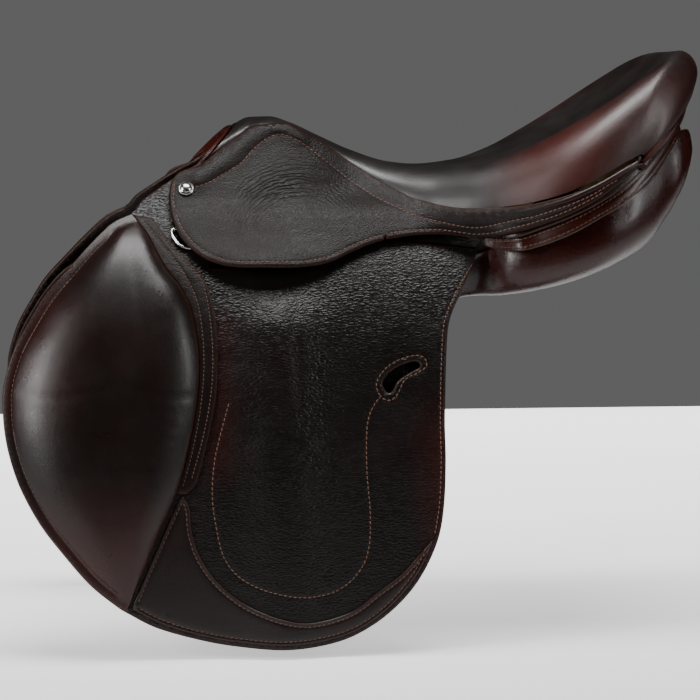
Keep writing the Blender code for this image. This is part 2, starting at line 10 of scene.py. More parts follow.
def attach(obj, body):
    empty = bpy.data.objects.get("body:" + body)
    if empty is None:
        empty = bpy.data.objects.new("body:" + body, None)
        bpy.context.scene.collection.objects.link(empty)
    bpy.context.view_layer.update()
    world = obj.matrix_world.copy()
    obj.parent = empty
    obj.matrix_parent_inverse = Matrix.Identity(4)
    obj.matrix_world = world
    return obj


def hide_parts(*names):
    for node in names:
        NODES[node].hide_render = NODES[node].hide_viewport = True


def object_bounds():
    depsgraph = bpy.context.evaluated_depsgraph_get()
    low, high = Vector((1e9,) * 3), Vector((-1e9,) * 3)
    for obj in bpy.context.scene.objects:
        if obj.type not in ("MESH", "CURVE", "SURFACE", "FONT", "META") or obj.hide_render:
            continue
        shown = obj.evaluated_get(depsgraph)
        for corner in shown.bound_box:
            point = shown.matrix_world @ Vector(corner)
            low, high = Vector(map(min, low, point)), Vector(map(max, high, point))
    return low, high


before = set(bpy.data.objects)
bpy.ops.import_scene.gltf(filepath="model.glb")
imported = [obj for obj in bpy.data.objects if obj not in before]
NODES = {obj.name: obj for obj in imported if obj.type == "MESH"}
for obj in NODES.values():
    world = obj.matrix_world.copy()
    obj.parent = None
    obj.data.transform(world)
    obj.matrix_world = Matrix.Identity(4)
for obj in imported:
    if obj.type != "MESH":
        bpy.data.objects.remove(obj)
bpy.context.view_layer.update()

MM = 0.001
SIDES = ((-1, "left"), (1, "right"))

# ------------------------------------------------------------------ the saddle's surfaces, in millimetres
SKIRT_INNER, SKIRT_OUTER = -4.2, -7.7
FLAP = 4.5
FLAP_SWELL = 8.5
SKIRT_FLARE = 8.0
SWEAT = (16.5, 19.0)
BLOCK = (6.0, 15.9)
STATION = (0, .06, .12, .18, .26, .34, .42, .50, .58, .66, .74, .82, .90, .95, .966, .983, 1)
WELT_X = (-130, -104, -82, -60, -35, -8, 20, 50, 85, 118, 150, 182, 210, 219, 220, 221, 222)
WELT_Z = (100, 119, 132.5, 134, 122, 104, 86.5, 71.5, 66, 69, 76.5, 90, 105, 109, 108.7, 108.4, 108)
CENTRE_X = (-96, -84, -68, -52, -28, 0, 30, 62, 98, 132, 170, 210, 250, 274, 284, 289, 285)
CENTRE_Z = (136, 141, 141.5, 137, 126, 113.5, 104, 100, 100, 105, 117, 139, 176, 196, 191.5, 181.5, 169)
CREST_Z = (136, 141, 141.5, 137, 126, 113.5, 104.2, 101, 104, 114, 132, 155, 181, 196, 191.5, 181.5, 169)
CREST_AT = (.02, .02, .02, .02, .05, .10, .20, .32, .42, .46, .48, .48, .42, .2, .14, .08, .02)
BEND_FRONT, BEND_REAR = (-185.0, 65.0), (111.0, 34.0)


def smooth(t):
    t = np.clip(t, 0.0, 1.0)
    return t * t * (3 - 2 * t)


def along(knots, values, at):
    """A smooth curve through the values that never overshoots them."""
    k, v = np.asarray(knots, float), np.asarray(values, float)
    at = np.asarray(at, float)
    slope = np.diff(v) / np.diff(k)
    tangent = np.zeros(len(k))
    same = slope[:-1] * slope[1:] > 0
    tangent[1:-1][same] = (2 * slope[:-1] * slope[1:])[same] / (slope[:-1] + slope[1:])[same]
    tangent[0], tangent[-1] = slope[0], slope[-1]
    i = np.clip(np.searchsorted(k, at) - 1, 0, len(k) - 2)
    wide = k[i + 1] - k[i]
    t = (at - k[i]) / wide
    return ((1 + 2 * t) * (1 - t) ** 2 * v[i] + t * (1 - t) ** 2 * wide * tangent[i]
            + t * t * (3 - 2 * t) * v[i + 1] - t * t * (1 - t) * wide * tangent[i + 1])


def half_width(x, z):
    """Half-width of the flap's outer face."""
    x, z = np.asarray(x, float), np.asarray(z, float)
    rear = smooth((x - 80) / 60)
    level = z + 0.6 * (78 - z) * rear
    half = np.where(level > 70, 78 - 0.72 * (level - 70),
                    78 + 105 * (1 - np.exp(np.minimum(level - 70, 0) / 110)))
    half = half - 14 * np.exp(-(x / 35) ** 2) * smooth((z - 55) / 30)
    high = 1 - (1 - smooth((z - 34) / 30)) * (1 - smooth((x - 85) / 40))
    half = half + 70 * smooth((x - 30) / 150) * high - 0.006 * np.maximum(0, x - 190) ** 2
    return half - 18 * (np.maximum(0, -x - 170) / 130) ** 2


def stack(x, y, z):
    x, y, z = np.broadcast_arrays(x, y, z)
    return np.stack([x, y, z], -1).astype(float)


def surface(point, outward):
    """A place(a, b, depth) on the surface point(a, b), with the depth measured in along its normal."""
    def place(a, b, depth):
        a, b = np.broadcast_arrays(np.asarray(a, float), np.asarray(b, float))
        out = outward(a, b) if callable(outward) else np.asarray(outward, float)
        step = 2e-3
        normal = np.cross(point(a + step, b) - point(a - step, b), point(a, b + step) - point(a, b - step))
        normal /= np.linalg.norm(normal, axis=-1, keepdims=True) + 1e-12
        normal *= np.where(np.sum(normal * out, axis=-1) < 0, -1, 1)[..., None]
        return point(a, b) - normal * np.broadcast_to(depth, a.shape)[..., None]
    return place


def drape(side):
    return surface(lambda x, z: stack(x, side * half_width(x, z), z), (0, side, 0.3))


def seat_point(s, q):
    s, q = np.broadcast_arrays(np.clip(s, 0, 1), q)
    angle = q * math.pi / 2
    crest = along(STATION, CREST_AT, s)
    welt_x, welt_z = along(STATION, WELT_X, s), along(STATION, WELT_Z, s)
    centre_z, crest_z = along(STATION, CENTRE_Z, s), along(STATION, CREST_Z, s)
    half = half_width(welt_x, welt_z) - SKIRT_OUTER - 2.5
    x = welt_x + (along(STATION, CENTRE_X, s) - welt_x) * np.cos(angle)
    dish = centre_z + (crest_z - centre_z) * smooth(np.abs(q) / crest)
    roll = welt_z + (crest_z - welt_z) * np.cos((np.abs(q) - crest) / (1 - crest) * math.pi / 2)
    return stack(x, half * np.sin(angle), np.where(np.abs(q) <= crest, dish, roll))


seat = surface(seat_point, lambda s, q: stack(0.6 * s ** 8, np.sin(q * math.pi / 2),
                                              0.4 + np.cos(q * math.pi / 2)))


def bend_z(x):
    t = (x - BEND_FRONT[0]) / (BEND_REAR[0] - BEND_FRONT[0])
    return BEND_FRONT[1] + t * (BEND_REAR[1] - BEND_FRONT[1])


# ------------------------------------------------------------------ outlines, as (x, z) on the drape
FLAP_EDGE = [(-185, 65.0, 1), (-201, 57), (-219, 41), (-237, 22), (-255, 2), (-267, -17), (-280, -41),
             (-288, -67),
             (-289, -88), (-287, -109), (-282, -130), (-274, -151), (-260, -176), (-243, -198),
             (-223, -221),
             (-205, -236), (-193, -244), (-171, -255), (-144, -264), (-110, -271), (-66, -274), (-27, -269),
             (1, -256), (24, -237), (40, -216), (52, -190), (57, -164), (59, -129), (59, -94), (62, -43),
             (66, -18), (77, 4), (88, 26), (92, bend_z(92), 1), (-37, bend_z(-37), 1), (-37, 22, 1),
             (-124, 22, 1), (-124, bend_z(-124), 1)]
KNEE_FRONT = [(-185, 63), (-201, 55.8), (-218.2, 40.2), (-236, 21.3), (-254, 1.4), (-266, -17.4),
              (-279, -41),
              (-286.8, -67), (-287.8, -88), (-286, -109), (-281, -130), (-273, -150.6), (-259, -175.4),
              (-242, -197.5), (-222, -220.4), (-204.4, -235), (-192.6, -242.6)]
KNEE_REAR = [(-183, 62), (-179, 55), (-172, 45), (-160, 22), (-149, 8), (-141, -7), (-137, -26),
             (-135, -41),
             (-135, -63), (-139, -92), (-145, -120), (-154, -151), (-170, -187), (-181, -214), (-193, -241)]
BAND = [(-163, 48), (-154, 37), (-145, 27), (-133, 15), (-127, -5), (-124, -41), (-126, -75), (-133, -109),
        (-142, -140)]
CUFF_IN = [(-149, -153), (-144, -163), (-142, -183), (-135, -203), (-121, -222), (-101, -238), (-75, -249),
           (-49, -253), (-19, -246), (4, -230), (23, -216), (37, -201), (48, -189)]
CUFF_LEFT = [(-149, -153), (-154, -160), (-171, -197), (-189, -238)]
CUFF_LOW = [(-189, -240), (-169, -251), (-143, -260), (-110, -267), (-66, -270), (-27, -265), (-1, -253),
            (21, -234), (37, -213), (48, -189)]
CONTOUR = [(-112, -82), (-119, -106), (-124, -127), (-126, -153), (-123, -179), (-117, -202), (-104, -218),
           (-83, -228), (-57, -233), (-36, -231), (-21, -224), (-9, -211), (-3, -194), (-2, -167),
           (-4, -139),
           (-4, -111), (-2, -95), (3, -84), (9, -77)]
SLOT = [(14, -75), (10, -68), (15, -60), (25, -54), (37, -51), (40, -55), (31, -60), (22, -66), (18, -73)]
SLOT_RING = [(8, -78), (5, -68), (12, -57), (23, -50), (37, -46.5), (44, -49), (45, -55), (38, -60),
             (28, -65),
             (21, -77), (15, -81)]
SKIRT_LOW = [(-153, 86), (-155, 70), (-153, 57), (-147, 43), (-136, 31), (-122, 22.5), (-104, 17.5),
             (-78, 16),
             (-53, 17), (-30, 22), (-12, 30), (5, 36.5), (18, 40)]
SKIRT_REAR = [(18, 40), (38, 43), (61, 45), (91, 47), (116, 47), (140, 54), (164, 64.5), (189, 79.5),
              (216, 100)]
SKIRT_A = [(-134, 80), (-124, 83), (-111, 90), (-96, 99), (-84, 111), (-72, 119.5), (-61, 121.5),
           (-46, 115),
           (-36, 108), (-21, 96), (-4, 83), (16, 69), (32, 62), (45, 57), (72, 54), (99, 55), (123, 57),
           (148, 65), (172, 75), (198, 90)]
SKIRT_B = [(-150, 84), (-151.5, 70), (-149.5, 58), (-143.5, 45), (-133.5, 34.5), (-121, 26.5), (-104, 21),
           (-78, 19.5), (-54, 20.5), (-31, 25.5), (-13, 33.5), (5, 40), (25, 44.5), (62, 48.5), (92, 50.5),
           (116, 50.5), (138, 56.5), (162, 66.5), (186, 80)]
FACING_UP = [(96, 45), (112, 45), (129, 49), (163, 63), (200, 83), (225, 103), (240, 119), (250, 132),
             (257, 145)]
FACING_LOW = [(96, 38), (110, 35), (129, 37), (154, 46), (180, 59), (208, 75), (229, 92), (246, 110),
              (255, 121),
              (261, 132)]
FRONT_SEAM = np.array([(-185.0, 65.0), (-119.0, 58.1)])
APRON = [(-185, 65.1, 1), (-178, 74), (-170, 80), (-161, 86), (-152, 92), (-142, 98), (-131, 104),
         (-119, 112, 1),
         (-107, 100, 1), (-113, 78), (-119, 58.2, 1)]
STRIP_RIGHT = [(-168.5, 60), (-162.5, 51), (-155, 41), (-145.5, 30), (-133, 19), (-125, 3), (-121, -18),
               (-120, -41),
               (-122, -76), (-129, -110), (-138, -142), (-147, -152)]
STRIP_ROW = [(-175, 56), (-163, 41), (-154, 30), (-145, 17), (-137, 1), (-133, -16), (-131, -41),
             (-132, -67),
             (-136, -95), (-142, -122), (-149, -146)]
GUSSET = [(114, 44), (150, 56), (190, 76), (222, 99), (246, 122), (258, 137), (262, 148), (252, 150),
          (243, 142),
          (230, 127), (219, 113), (205, 98), (186, 89), (150, 73), (118, 60)]


def catmull(points, step, closed=False):
    """Evenly spaced points on a smooth curve through the given ones."""
    p = np.asarray(points, float)
    n = len(p)
    out = []
    for i in range(n if closed else n - 1):
        if closed:
            a, b, c, d = (p[(i + k) % n] for k in (-1, 0, 1, 2))
        else:
            a, b, c, d = (p[min(max(i + k, 0), n - 1)] for k in (-1, 0, 1, 2))
        t = np.linspace(0, 1, 17)[:-1, None]
        out.append(0.5 * (2 * b + (c - a) * t + (2 * a - 5 * b + 4 * c - d) * t * t
                          + (3 * b - a - 3 * c + d) * t ** 3))
    path = np.concatenate(out + [p[:1] if closed else p[-1:]])
    run = np.concatenate([[0], np.cumsum(np.linalg.norm(np.diff(path, axis=0), axis=1))])
    count = max(2, int(round(run[-1] / step)) + 1)
    even = np.linspace(0, run[-1], count)
    if closed:
        even = even[:-1]
    return np.stack([np.interp(even, run, path[:, k]) for k in range(path.shape[1])], 1)


def corners(points, step):
    """A closed outline, smooth except at the points given with a third entry."""
    marks = [i for i, p in enumerate(points) if len(p) > 2]
    flat = [p[:2] for p in points]
    if not marks:
        return catmull(flat, step, True)
    runs = []
    for one, two in zip(marks, marks[1:] + [marks[0] + len(points)]):
        run = [flat[i % len(flat)] for i in range(one, two + 1)]
        runs.append(catmull(run, step)[:-1])
    return np.concatenate(runs)


def inside(loop, p):
    a, b = loop, np.roll(loop, -1, 0)
    hit = np.zeros(len(p), bool)
    for k in range(len(a)):
        if a[k, 1] == b[k, 1]:
            continue
        crosses = (a[k, 1] > p[:, 1]) != (b[k, 1] > p[:, 1])
        at = (b[k, 0] - a[k, 0]) * (p[:, 1] - a[k, 1]) / (b[k, 1] - a[k, 1]) + a[k, 0]
        hit ^= crosses & (p[:, 0] < at)
    return hit


def distance(path, p, closed=False):
    """Distance of each point to a polyline."""
    a = path
    b = np.roll(path, -1, 0)
    if not closed:
        a, b = a[:-1], b[:-1]
    best = np.full(len(p), 1e9)
    for k in range(len(a)):
        run = b[k] - a[k]
        t = np.clip(((p - a[k]) @ run) / max(run @ run, 1e-12), 0, 1)
        best = np.minimum(best, np.hypot(*(p - a[k] - t[:, None] * run).T))
    return best


def shift(path, gap, closed=False):
    """The polyline moved sideways, to its left."""
    if closed:
        run = np.roll(path, -1, 0) - np.roll(path, 1, 0)
    else:
        run = np.gradient(path, axis=0)
    run /= np.linalg.norm(run, axis=1, keepdims=True) + 1e-12
    return path + gap * np.stack([-run[:, 1], run[:, 0]], 1)


# ------------------------------------------------------------------ mesh makers
def finish(name, verts, faces, material, body, warm=None, edge=None):
    mesh = bpy.data.meshes.new(name)
    mesh.from_pydata((np.asarray(verts) * MM).tolist(), [], [tuple(int(i) for i in f) for f in faces])
    bm = bmesh.new()
    bm.from_mesh(mesh)
    bmesh.ops.recalc_face_normals(bm, faces=bm.faces)
    bm.to_mesh(mesh)
    bm.free()
    mesh.polygons.foreach_set("use_smooth", [True] * len(mesh.polygons))
    mesh.set_sharp_from_angle(angle=math.radians(48))
    attribute = mesh.attributes.new("warm", "FLOAT", "POINT")
    v = np.asarray(verts, float)
    value = np.zeros(len(v)) if warm is None else np.clip(warm(v[:, 0], np.abs(v[:, 1]), v[:, 2]), 0, 1)
    attribute.data.foreach_set("value", np.broadcast_to(value, len(v)).astype(np.float32))
    cut = mesh.attributes.new("cut", "FLOAT", "POINT")
    cut.data.foreach_set("value", np.zeros(len(v), np.float32) if edge is None else edge.astype(np.float32))
    mesh.materials.append(material)
    obj = bpy.data.objects.new(name, mesh)
    bpy.context.scene.collection.objects.link(obj)
    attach(obj, body)
    return obj


def ring_faces(count, sides, closed=False):
    """Faces that join rings of points in turn, with an end cap on each end unless they close."""
    faces = []
    for i in range(count if closed else count - 1):
        j = (i + 1) % count
        faces += [(i * sides + k, i * sides + (k + 1) % sides, j * sides + (k + 1) % sides, j * sides + k)
                  for k in range(sides)]
    if not closed:
        faces += [tuple(range(sides))[::-1], tuple((count - 1) * sides + k for k in range(sides))]
    return faces


def leather(name, place, edge, outer, inner, step, material, body, holes=(), lines=(), warm=None,
            square=None):
    """A leather between two depths of a surface: rounded edges, and grooves where it is stitched.
    outer and inner are numbers or functions of (points, distance from the edge)."""
    loops = [np.asarray(edge)] + [np.asarray(h) for h in holes]
    within = lambda p: inside(loops[0], p) & ~np.any([inside(h, p) for h in loops[1:]], axis=0)
    to_edge = lambda p: np.min([distance(loop, p, True) for loop in loops], axis=0)
    sizes = [len(loop) for loop in loops]
    rows = list(loops)
    rim_steps = (0.35, 0.9, 1.7, 3.0)
    for loop in loops:
        area = np.sum(loop[:, 0] * np.roll(loop[:, 1], -1) - np.roll(loop[:, 0], -1) * loop[:, 1])
        turn = (1 if area > 0 else -1) * (1 if loop is loops[0] else -1)
        rows += [shift(loop, turn * d, True)[:: 1 if d < 1 else 2] for d in rim_steps]
    for line in lines:
        rows += [shift(line, g) for g in (-2.2, -1.1, 0, 1.1, 2.2)]
    low, high = loops[0].min(0), loops[0].max(0)
    xs, zs = np.arange(low[0], high[0], step), np.arange(low[1], high[1], step * 0.866)
    grid = np.stack(np.meshgrid(xs, zs, indexing="ij"), -1)
    grid[:, 1::2, 0] += step / 2
    grid = grid.reshape(-1, 2)
    near = np.concatenate(rows)
    grid = grid[within(grid)]
    keep = to_edge(grid) > 3.0 + 0.45 * step
    for line in lines:
        keep &= distance(line, grid) > 2.2 + 0.4 * step
    grid = grid[keep]
    extra = near[sum(sizes):]
    points = np.concatenate([near[:sum(sizes)], extra[within(extra) & (to_edge(extra) > 0.3)], grid])
    links, first = [], 0
    for n in sizes:
        links += [(first + k, first + (k + 1) % n) for k in range(n)]
        first += n
    flat, _, triangles, *_ = delaunay_2d_cdt([Vector(p) for p in points], links, [], 0, 1e-6)
    flat = np.array([tuple(p) for p in flat])
    triangles = np.array([tuple(t) for t in triangles])
    keep = within(flat[triangles].mean(1))
    a, b, c = (flat[triangles[:, k]] for k in range(3))
    size = (b[:, 0] - a[:, 0]) * (c[:, 1] - a[:, 1]) - (b[:, 1] - a[:, 1]) * (c[:, 0] - a[:, 0])
    triangles = triangles[keep & (np.abs(size) > 1e-4)]
    used = np.unique(triangles)
    renumber = np.zeros(len(flat), int)
    renumber[used] = np.arange(len(used))
    flat, triangles = flat[used], renumber[triangles]
    away = to_edge(flat)
    top = np.broadcast_to(outer(flat, away) if callable(outer) else outer, away.shape).astype(float)
    low = np.broadcast_to(inner(flat, away) if callable(inner) else inner, away.shape).astype(float)
    half = (low - top) / 2
    reach = np.minimum(half, 2.2)
    t = np.clip(away / np.maximum(reach, 1e-6), 0, 1)
    roll = reach * 0.94 * (1 - np.sqrt(np.maximum(0, 1 - (1 - t) ** 2)))
    if square is not None:
        roll = roll * smooth((square(flat) - 0.2) / 3.0)
    groove = sum((0.42 * np.exp(-(distance(line, flat) / 1.0) ** 2) for line in lines), np.zeros(len(flat)))
    upper = place(flat[:, 0], flat[:, 1], top + roll + groove)
    under = place(flat[:, 0], flat[:, 1], low - roll)
    n = len(flat)
    pairs = np.concatenate([triangles[:, [0, 1]], triangles[:, [1, 2]], triangles[:, [2, 0]]])
    key = np.sort(pairs, 1)
    _, index, counts = np.unique(key, axis=0, return_index=True, return_counts=True)
    rim_pairs = pairs[index[counts == 1]]
    faces = triangles.tolist() + (triangles[:, ::-1] + n).tolist()
    faces += [(q, p, p + n, q + n) for p, q in rim_pairs.tolist()]
    cut = 1 - smooth((away - 0.5) / 1.3)
    if square is not None:
        cut = cut * smooth((square(flat) - 0.2) / 3.0)
    return finish(name, np.concatenate([upper, under]), faces, material, body, warm,
                  np.concatenate([cut, cut]))


def shell(name, place, a_values, b_values, outer, inner, material, body, warm=None):
    """A closed piece between two depths of a surface on a regular net."""
    a, b = np.meshgrid(a_values, b_values, indexing="ij")
    layers = [place(a, b, d(a, b) if callable(d) else d).reshape(-1, 3) for d in (outer, inner)]
    rows, columns = a.shape
    n = rows * columns
    index = np.arange(n).reshape(rows, columns)
    quads = np.stack([index[:-1, :-1], index[1:, :-1], index[1:, 1:], index[:-1, 1:]], -1).reshape(-1, 4)
    faces = quads.tolist() + (quads[:, ::-1] + n).tolist()
    ring = list(index[0]) + list(index[1:, -1]) + list(index[-1, -2::-1]) + list(index[-2:0:-1, 0])
    faces += [(p, q, q + n, p + n) for p, q in zip(ring, ring[1:] + ring[:1])]
    return finish(name, np.concatenate(layers), faces, material, body, warm)


def tube(name, path, radius, sides, material, body, closed=False, warm=None, flat=1.0, up=(0, 0, 1)):
    """A round cord along a path of points, with tapered ends when it is open."""
    path = np.asarray(path, float)
    run = np.roll(path, -1, 0) - np.roll(path, 1, 0)
    if not closed:
        run[0], run[-1] = path[1] - path[0], path[-1] - path[-2]
    run /= np.linalg.norm(run, axis=1, keepdims=True)
    wide = np.cross(run, np.asarray(up, float))
    wide /= np.linalg.norm(wide, axis=1, keepdims=True) + 1e-9
    thick = np.cross(run, wide)
    angle = np.linspace(0, 2 * math.pi, sides, endpoint=False)
    size = np.full(len(path), float(radius))
    if not closed:
        size[0] = size[-1] = radius * 0.35
    verts = (path[:, None] + size[:, None, None] * (np.cos(angle)[None, :, None] * wide[:, None]
                                                    + flat * np.sin(angle)[None, :, None] * thick[:, None]))
    return finish(name, verts.reshape(-1, 3), ring_faces(len(path), sides, closed), material, body, warm)


def stitches(name, place, line, depth, material, body, pitch=3.9, length=2.9, radius=0.42):
    """Separate thread stitches laid along a line of a leather, each a small raised capsule."""
    level = depth(line) if callable(depth) else depth
    spots, above = place(line[:, 0], line[:, 1], level), place(line[:, 0], line[:, 1], level - 1)
    run = np.concatenate([[0], np.cumsum(np.linalg.norm(np.diff(spots, axis=0), axis=1))])
    count = int(run[-1] / pitch)
    at = (np.arange(count) + 0.5) * run[-1] / max(count, 1)
    look = lambda values, where: np.stack([np.interp(where, run, values[:, k]) for k in range(3)], 1)
    middle, out = look(spots, at), look(above - spots, at)
    out /= np.linalg.norm(out, axis=1, keepdims=True)
    ahead = look(spots, np.minimum(at + 0.8, run[-1])) - look(spots, np.maximum(at - 0.8, 0))
    ahead /= np.linalg.norm(ahead, axis=1, keepdims=True)
    across = np.cross(out, ahead)
    ahead = ahead + 0.10 * across
    ahead /= np.linalg.norm(ahead, axis=1, keepdims=True)
    across = np.cross(out, ahead)
    rings = ((-1, .25, -.45), (-.72, .8, -.05), (-.25, 1, .25), (.25, 1, .25), (.72, .8, -.05),
             (1, .25, -.45))
    angle = np.linspace(0, 2 * math.pi, 6, endpoint=False)
    verts = []
    for u, r, lift in rings:
        for t in angle:
            verts.append(middle + ahead * (u * length / 2) + across * (r * radius * math.cos(t))
                         + out * (radius * (lift + r * 0.8 * math.sin(t))))
    verts = np.stack(verts, 1)
    per = verts.shape[1]
    faces = [tuple(i * per + v for v in f) for i in range(count) for f in ring_faces(len(rings),
                                                                                     len(angle))]
    return finish(name, verts.reshape(-1, 3), faces, material, body)


# ------------------------------------------------------------------ materials
def nodes_for(name):
    material = bpy.data.materials.new(name)
    material.use_nodes = True
    tree = material.node_tree
    return material, tree, tree.nodes["Principled BSDF"]


def add(tree, kind, **values):
    node = tree.nodes.new(kind)
    for key, value in values.items():
        if key in node.inputs:
            node.inputs[key].default_value = value
        else:
            setattr(node, key, value)
    return node


def ramp(tree, source, low, high, to_low, to_high):
    node = add(tree, "ShaderNodeMapRange")
    for key, value in (("From Min", low), ("From Max", high), ("To Min", to_low), ("To Max", to_high)):
        node.inputs[key].default_value = value
    tree.links.new(source, node.inputs["Value"])
    return node.outputs["Result"]


def mix_colour(tree, factor, one, two):
    node = tree.nodes.new("ShaderNodeMix")
    node.data_type = "RGBA"
    tree.links.new(factor, node.inputs["Factor"])
    for value, socket in ((one, node.inputs["A"]), (two, node.inputs["B"])):
        if isinstance(value, tuple):
            socket.default_value = (*value, 1)
        else:
            tree.links.new(value, socket)
    return node.outputs["Result"]


def make_leather(name, dark, warm, rough, grain, grain_size, crease, coat, wear=0.5, arcs=False,
                 gleam=0.30):
    """Dyed leather: colour that shifts in soft patches, pores and creases, and a polished face."""
    material, tree, shader = nodes_for(name)
    link = tree.links.new
    where = add(tree, "ShaderNodeTexCoord").outputs["Object"]
    patch = add(tree, "ShaderNodeTexNoise", Scale=14.0, Detail=4.0, Roughness=0.6)
    link(where, patch.inputs["Vector"])
    mark = tree.nodes.new("ShaderNodeAttribute")
    mark.attribute_name = "warm"
    blend = tree.nodes.new("ShaderNodeMath")
    blend.operation = "MULTIPLY_ADD"
    link(patch.outputs["Fac"], blend.inputs[0])
    blend.inputs[1].default_value = wear
    blend.inputs[2].default_value = -wear * 0.5
    total = tree.nodes.new("ShaderNodeMath")
    total.operation = "ADD"
    total.use_clamp = True
    link(mark.outputs["Fac"], total.inputs[0])
    link(blend.outputs[0], total.inputs[1])
    colour = mix_colour(tree, total.outputs[0], dark, warm)
    cut = tree.nodes.new("ShaderNodeAttribute")
    cut.attribute_name = "cut"
    colour = mix_colour(tree, cut.outputs["Fac"], colour, CUT_EDGE)
    fine = add(tree, "ShaderNodeTexNoise", Scale=900.0, Detail=3.0, Roughness=0.6)
    link(where, fine.inputs["Vector"])
    shade = ramp(tree, fine.outputs["Fac"], 0.3, 0.7, 0.0, 0.35)
    colour = mix_colour(tree, shade, colour, tuple(c * 0.45 for c in dark))
    link(colour, shader.inputs["Base Color"])
    shine = add(tree, "ShaderNodeTexNoise", Scale=30.0, Detail=6.0, Roughness=0.65)
    link(where, shine.inputs["Vector"])
    link(ramp(tree, shine.outputs["Fac"], 0.3, 0.7, rough - 0.06, rough + 0.08), shader.inputs["Roughness"])
    shader.inputs["Coat Weight"].default_value = coat
    shader.inputs["Coat Roughness"].default_value = 0.22
    shader.inputs["Specular IOR Level"].default_value = gleam
    stretch = add(tree, "ShaderNodeMapping")
    stretch.inputs["Scale"].default_value = (0.55, 0.55, 1.15)
    link(where, stretch.inputs["Vector"])
    warp = add(tree, "ShaderNodeTexNoise", Scale=160.0, Detail=2.0)
    link(where, warp.inputs["Vector"])
    warped = tree.nodes.new("ShaderNodeVectorMath")
    warped.operation = "MULTIPLY_ADD"
    link(warp.outputs["Color"], warped.inputs[0])
    warped.inputs[1].default_value = (0.0022, 0.0022, 0.0022)
    link(stretch.outputs["Vector"], warped.inputs[2])
    cells = add(tree, "ShaderNodeTexVoronoi", Scale=1.0 / grain_size, feature="DISTANCE_TO_EDGE")
    link(warped.outputs[0], cells.inputs["Vector"])
    pores = add(tree, "ShaderNodeBump", Strength=grain, Distance=0.0007)
    link(ramp(tree, cells.outputs["Distance"], 0.0, 0.30, 0.0, 1.0), pores.inputs["Height"])
    lines = add(tree, "ShaderNodeTexNoise", Scale=70.0, Detail=3.0, Roughness=0.55, Distortion=1.2)
    squeezed = add(tree, "ShaderNodeMapping")
    squeezed.inputs["Scale"].default_value = (0.5, 0.5, 1.5)
    link(where, squeezed.inputs["Vector"])
    link(squeezed.outputs["Vector"], lines.inputs["Vector"])
    creases = add(tree, "ShaderNodeBump", Strength=crease, Distance=0.0016)
    link(lines.outputs["Fac"], creases.inputs["Height"])
    link(pores.outputs["Normal"], creases.inputs["Normal"])
    normal = creases.outputs["Normal"]
    if arcs:
        reach, strength = (tree.nodes.new("ShaderNodeAttribute") for _ in range(2))
        reach.attribute_name, strength.attribute_name = "arc_reach", "arc_strength"
        wobble = tree.nodes.new("ShaderNodeMath")
        wobble.operation = "MULTIPLY_ADD"
        link(lines.outputs["Fac"], wobble.inputs[0])
        wobble.inputs[1].default_value = 9.0
        link(reach.outputs["Fac"], wobble.inputs[2])
        scaled = tree.nodes.new("ShaderNodeMath")
        scaled.operation = "MULTIPLY"
        link(wobble.outputs[0], scaled.inputs[0])
        scaled.inputs[1].default_value = 2.1
        wave = tree.nodes.new("ShaderNodeMath")
        wave.operation = "SINE"
        link(scaled.outputs[0], wave.inputs[0])
        height = tree.nodes.new("ShaderNodeMath")
        height.operation = "MULTIPLY"
        link(wave.outputs[0], height.inputs[0])
        link(strength.outputs["Fac"], height.inputs[1])
        folds = add(tree, "ShaderNodeBump", Strength=0.4, Distance=0.0006)
        link(height.outputs[0], folds.inputs["Height"])
        link(normal, folds.inputs["Normal"])
        normal = folds.outputs["Normal"]
    link(normal, shader.inputs["Normal"])
    return material


def make_metal(name, colour, rough, scratch):
    material, tree, shader = nodes_for(name)
    link = tree.links.new
    where = add(tree, "ShaderNodeTexCoord").outputs["Object"]
    stretch = add(tree, "ShaderNodeMapping")
    stretch.inputs["Scale"].default_value = (0.3, 1.0, 2.5)
    link(where, stretch.inputs["Vector"])
    lines = add(tree, "ShaderNodeTexNoise", Scale=900.0, Detail=4.0)
    link(stretch.outputs["Vector"], lines.inputs["Vector"])
    shader.inputs["Metallic"].default_value = 1.0
    shader.inputs["Base Color"].default_value = (*colour, 1)
    link(ramp(tree, lines.outputs["Fac"], 0.3, 0.7, rough - 0.05, rough + 0.1), shader.inputs["Roughness"])
    bump = add(tree, "ShaderNodeBump", Strength=scratch, Distance=0.0002)
    link(lines.outputs["Fac"], bump.inputs["Height"])
    link(bump.outputs["Normal"], shader.inputs["Normal"])
    return material


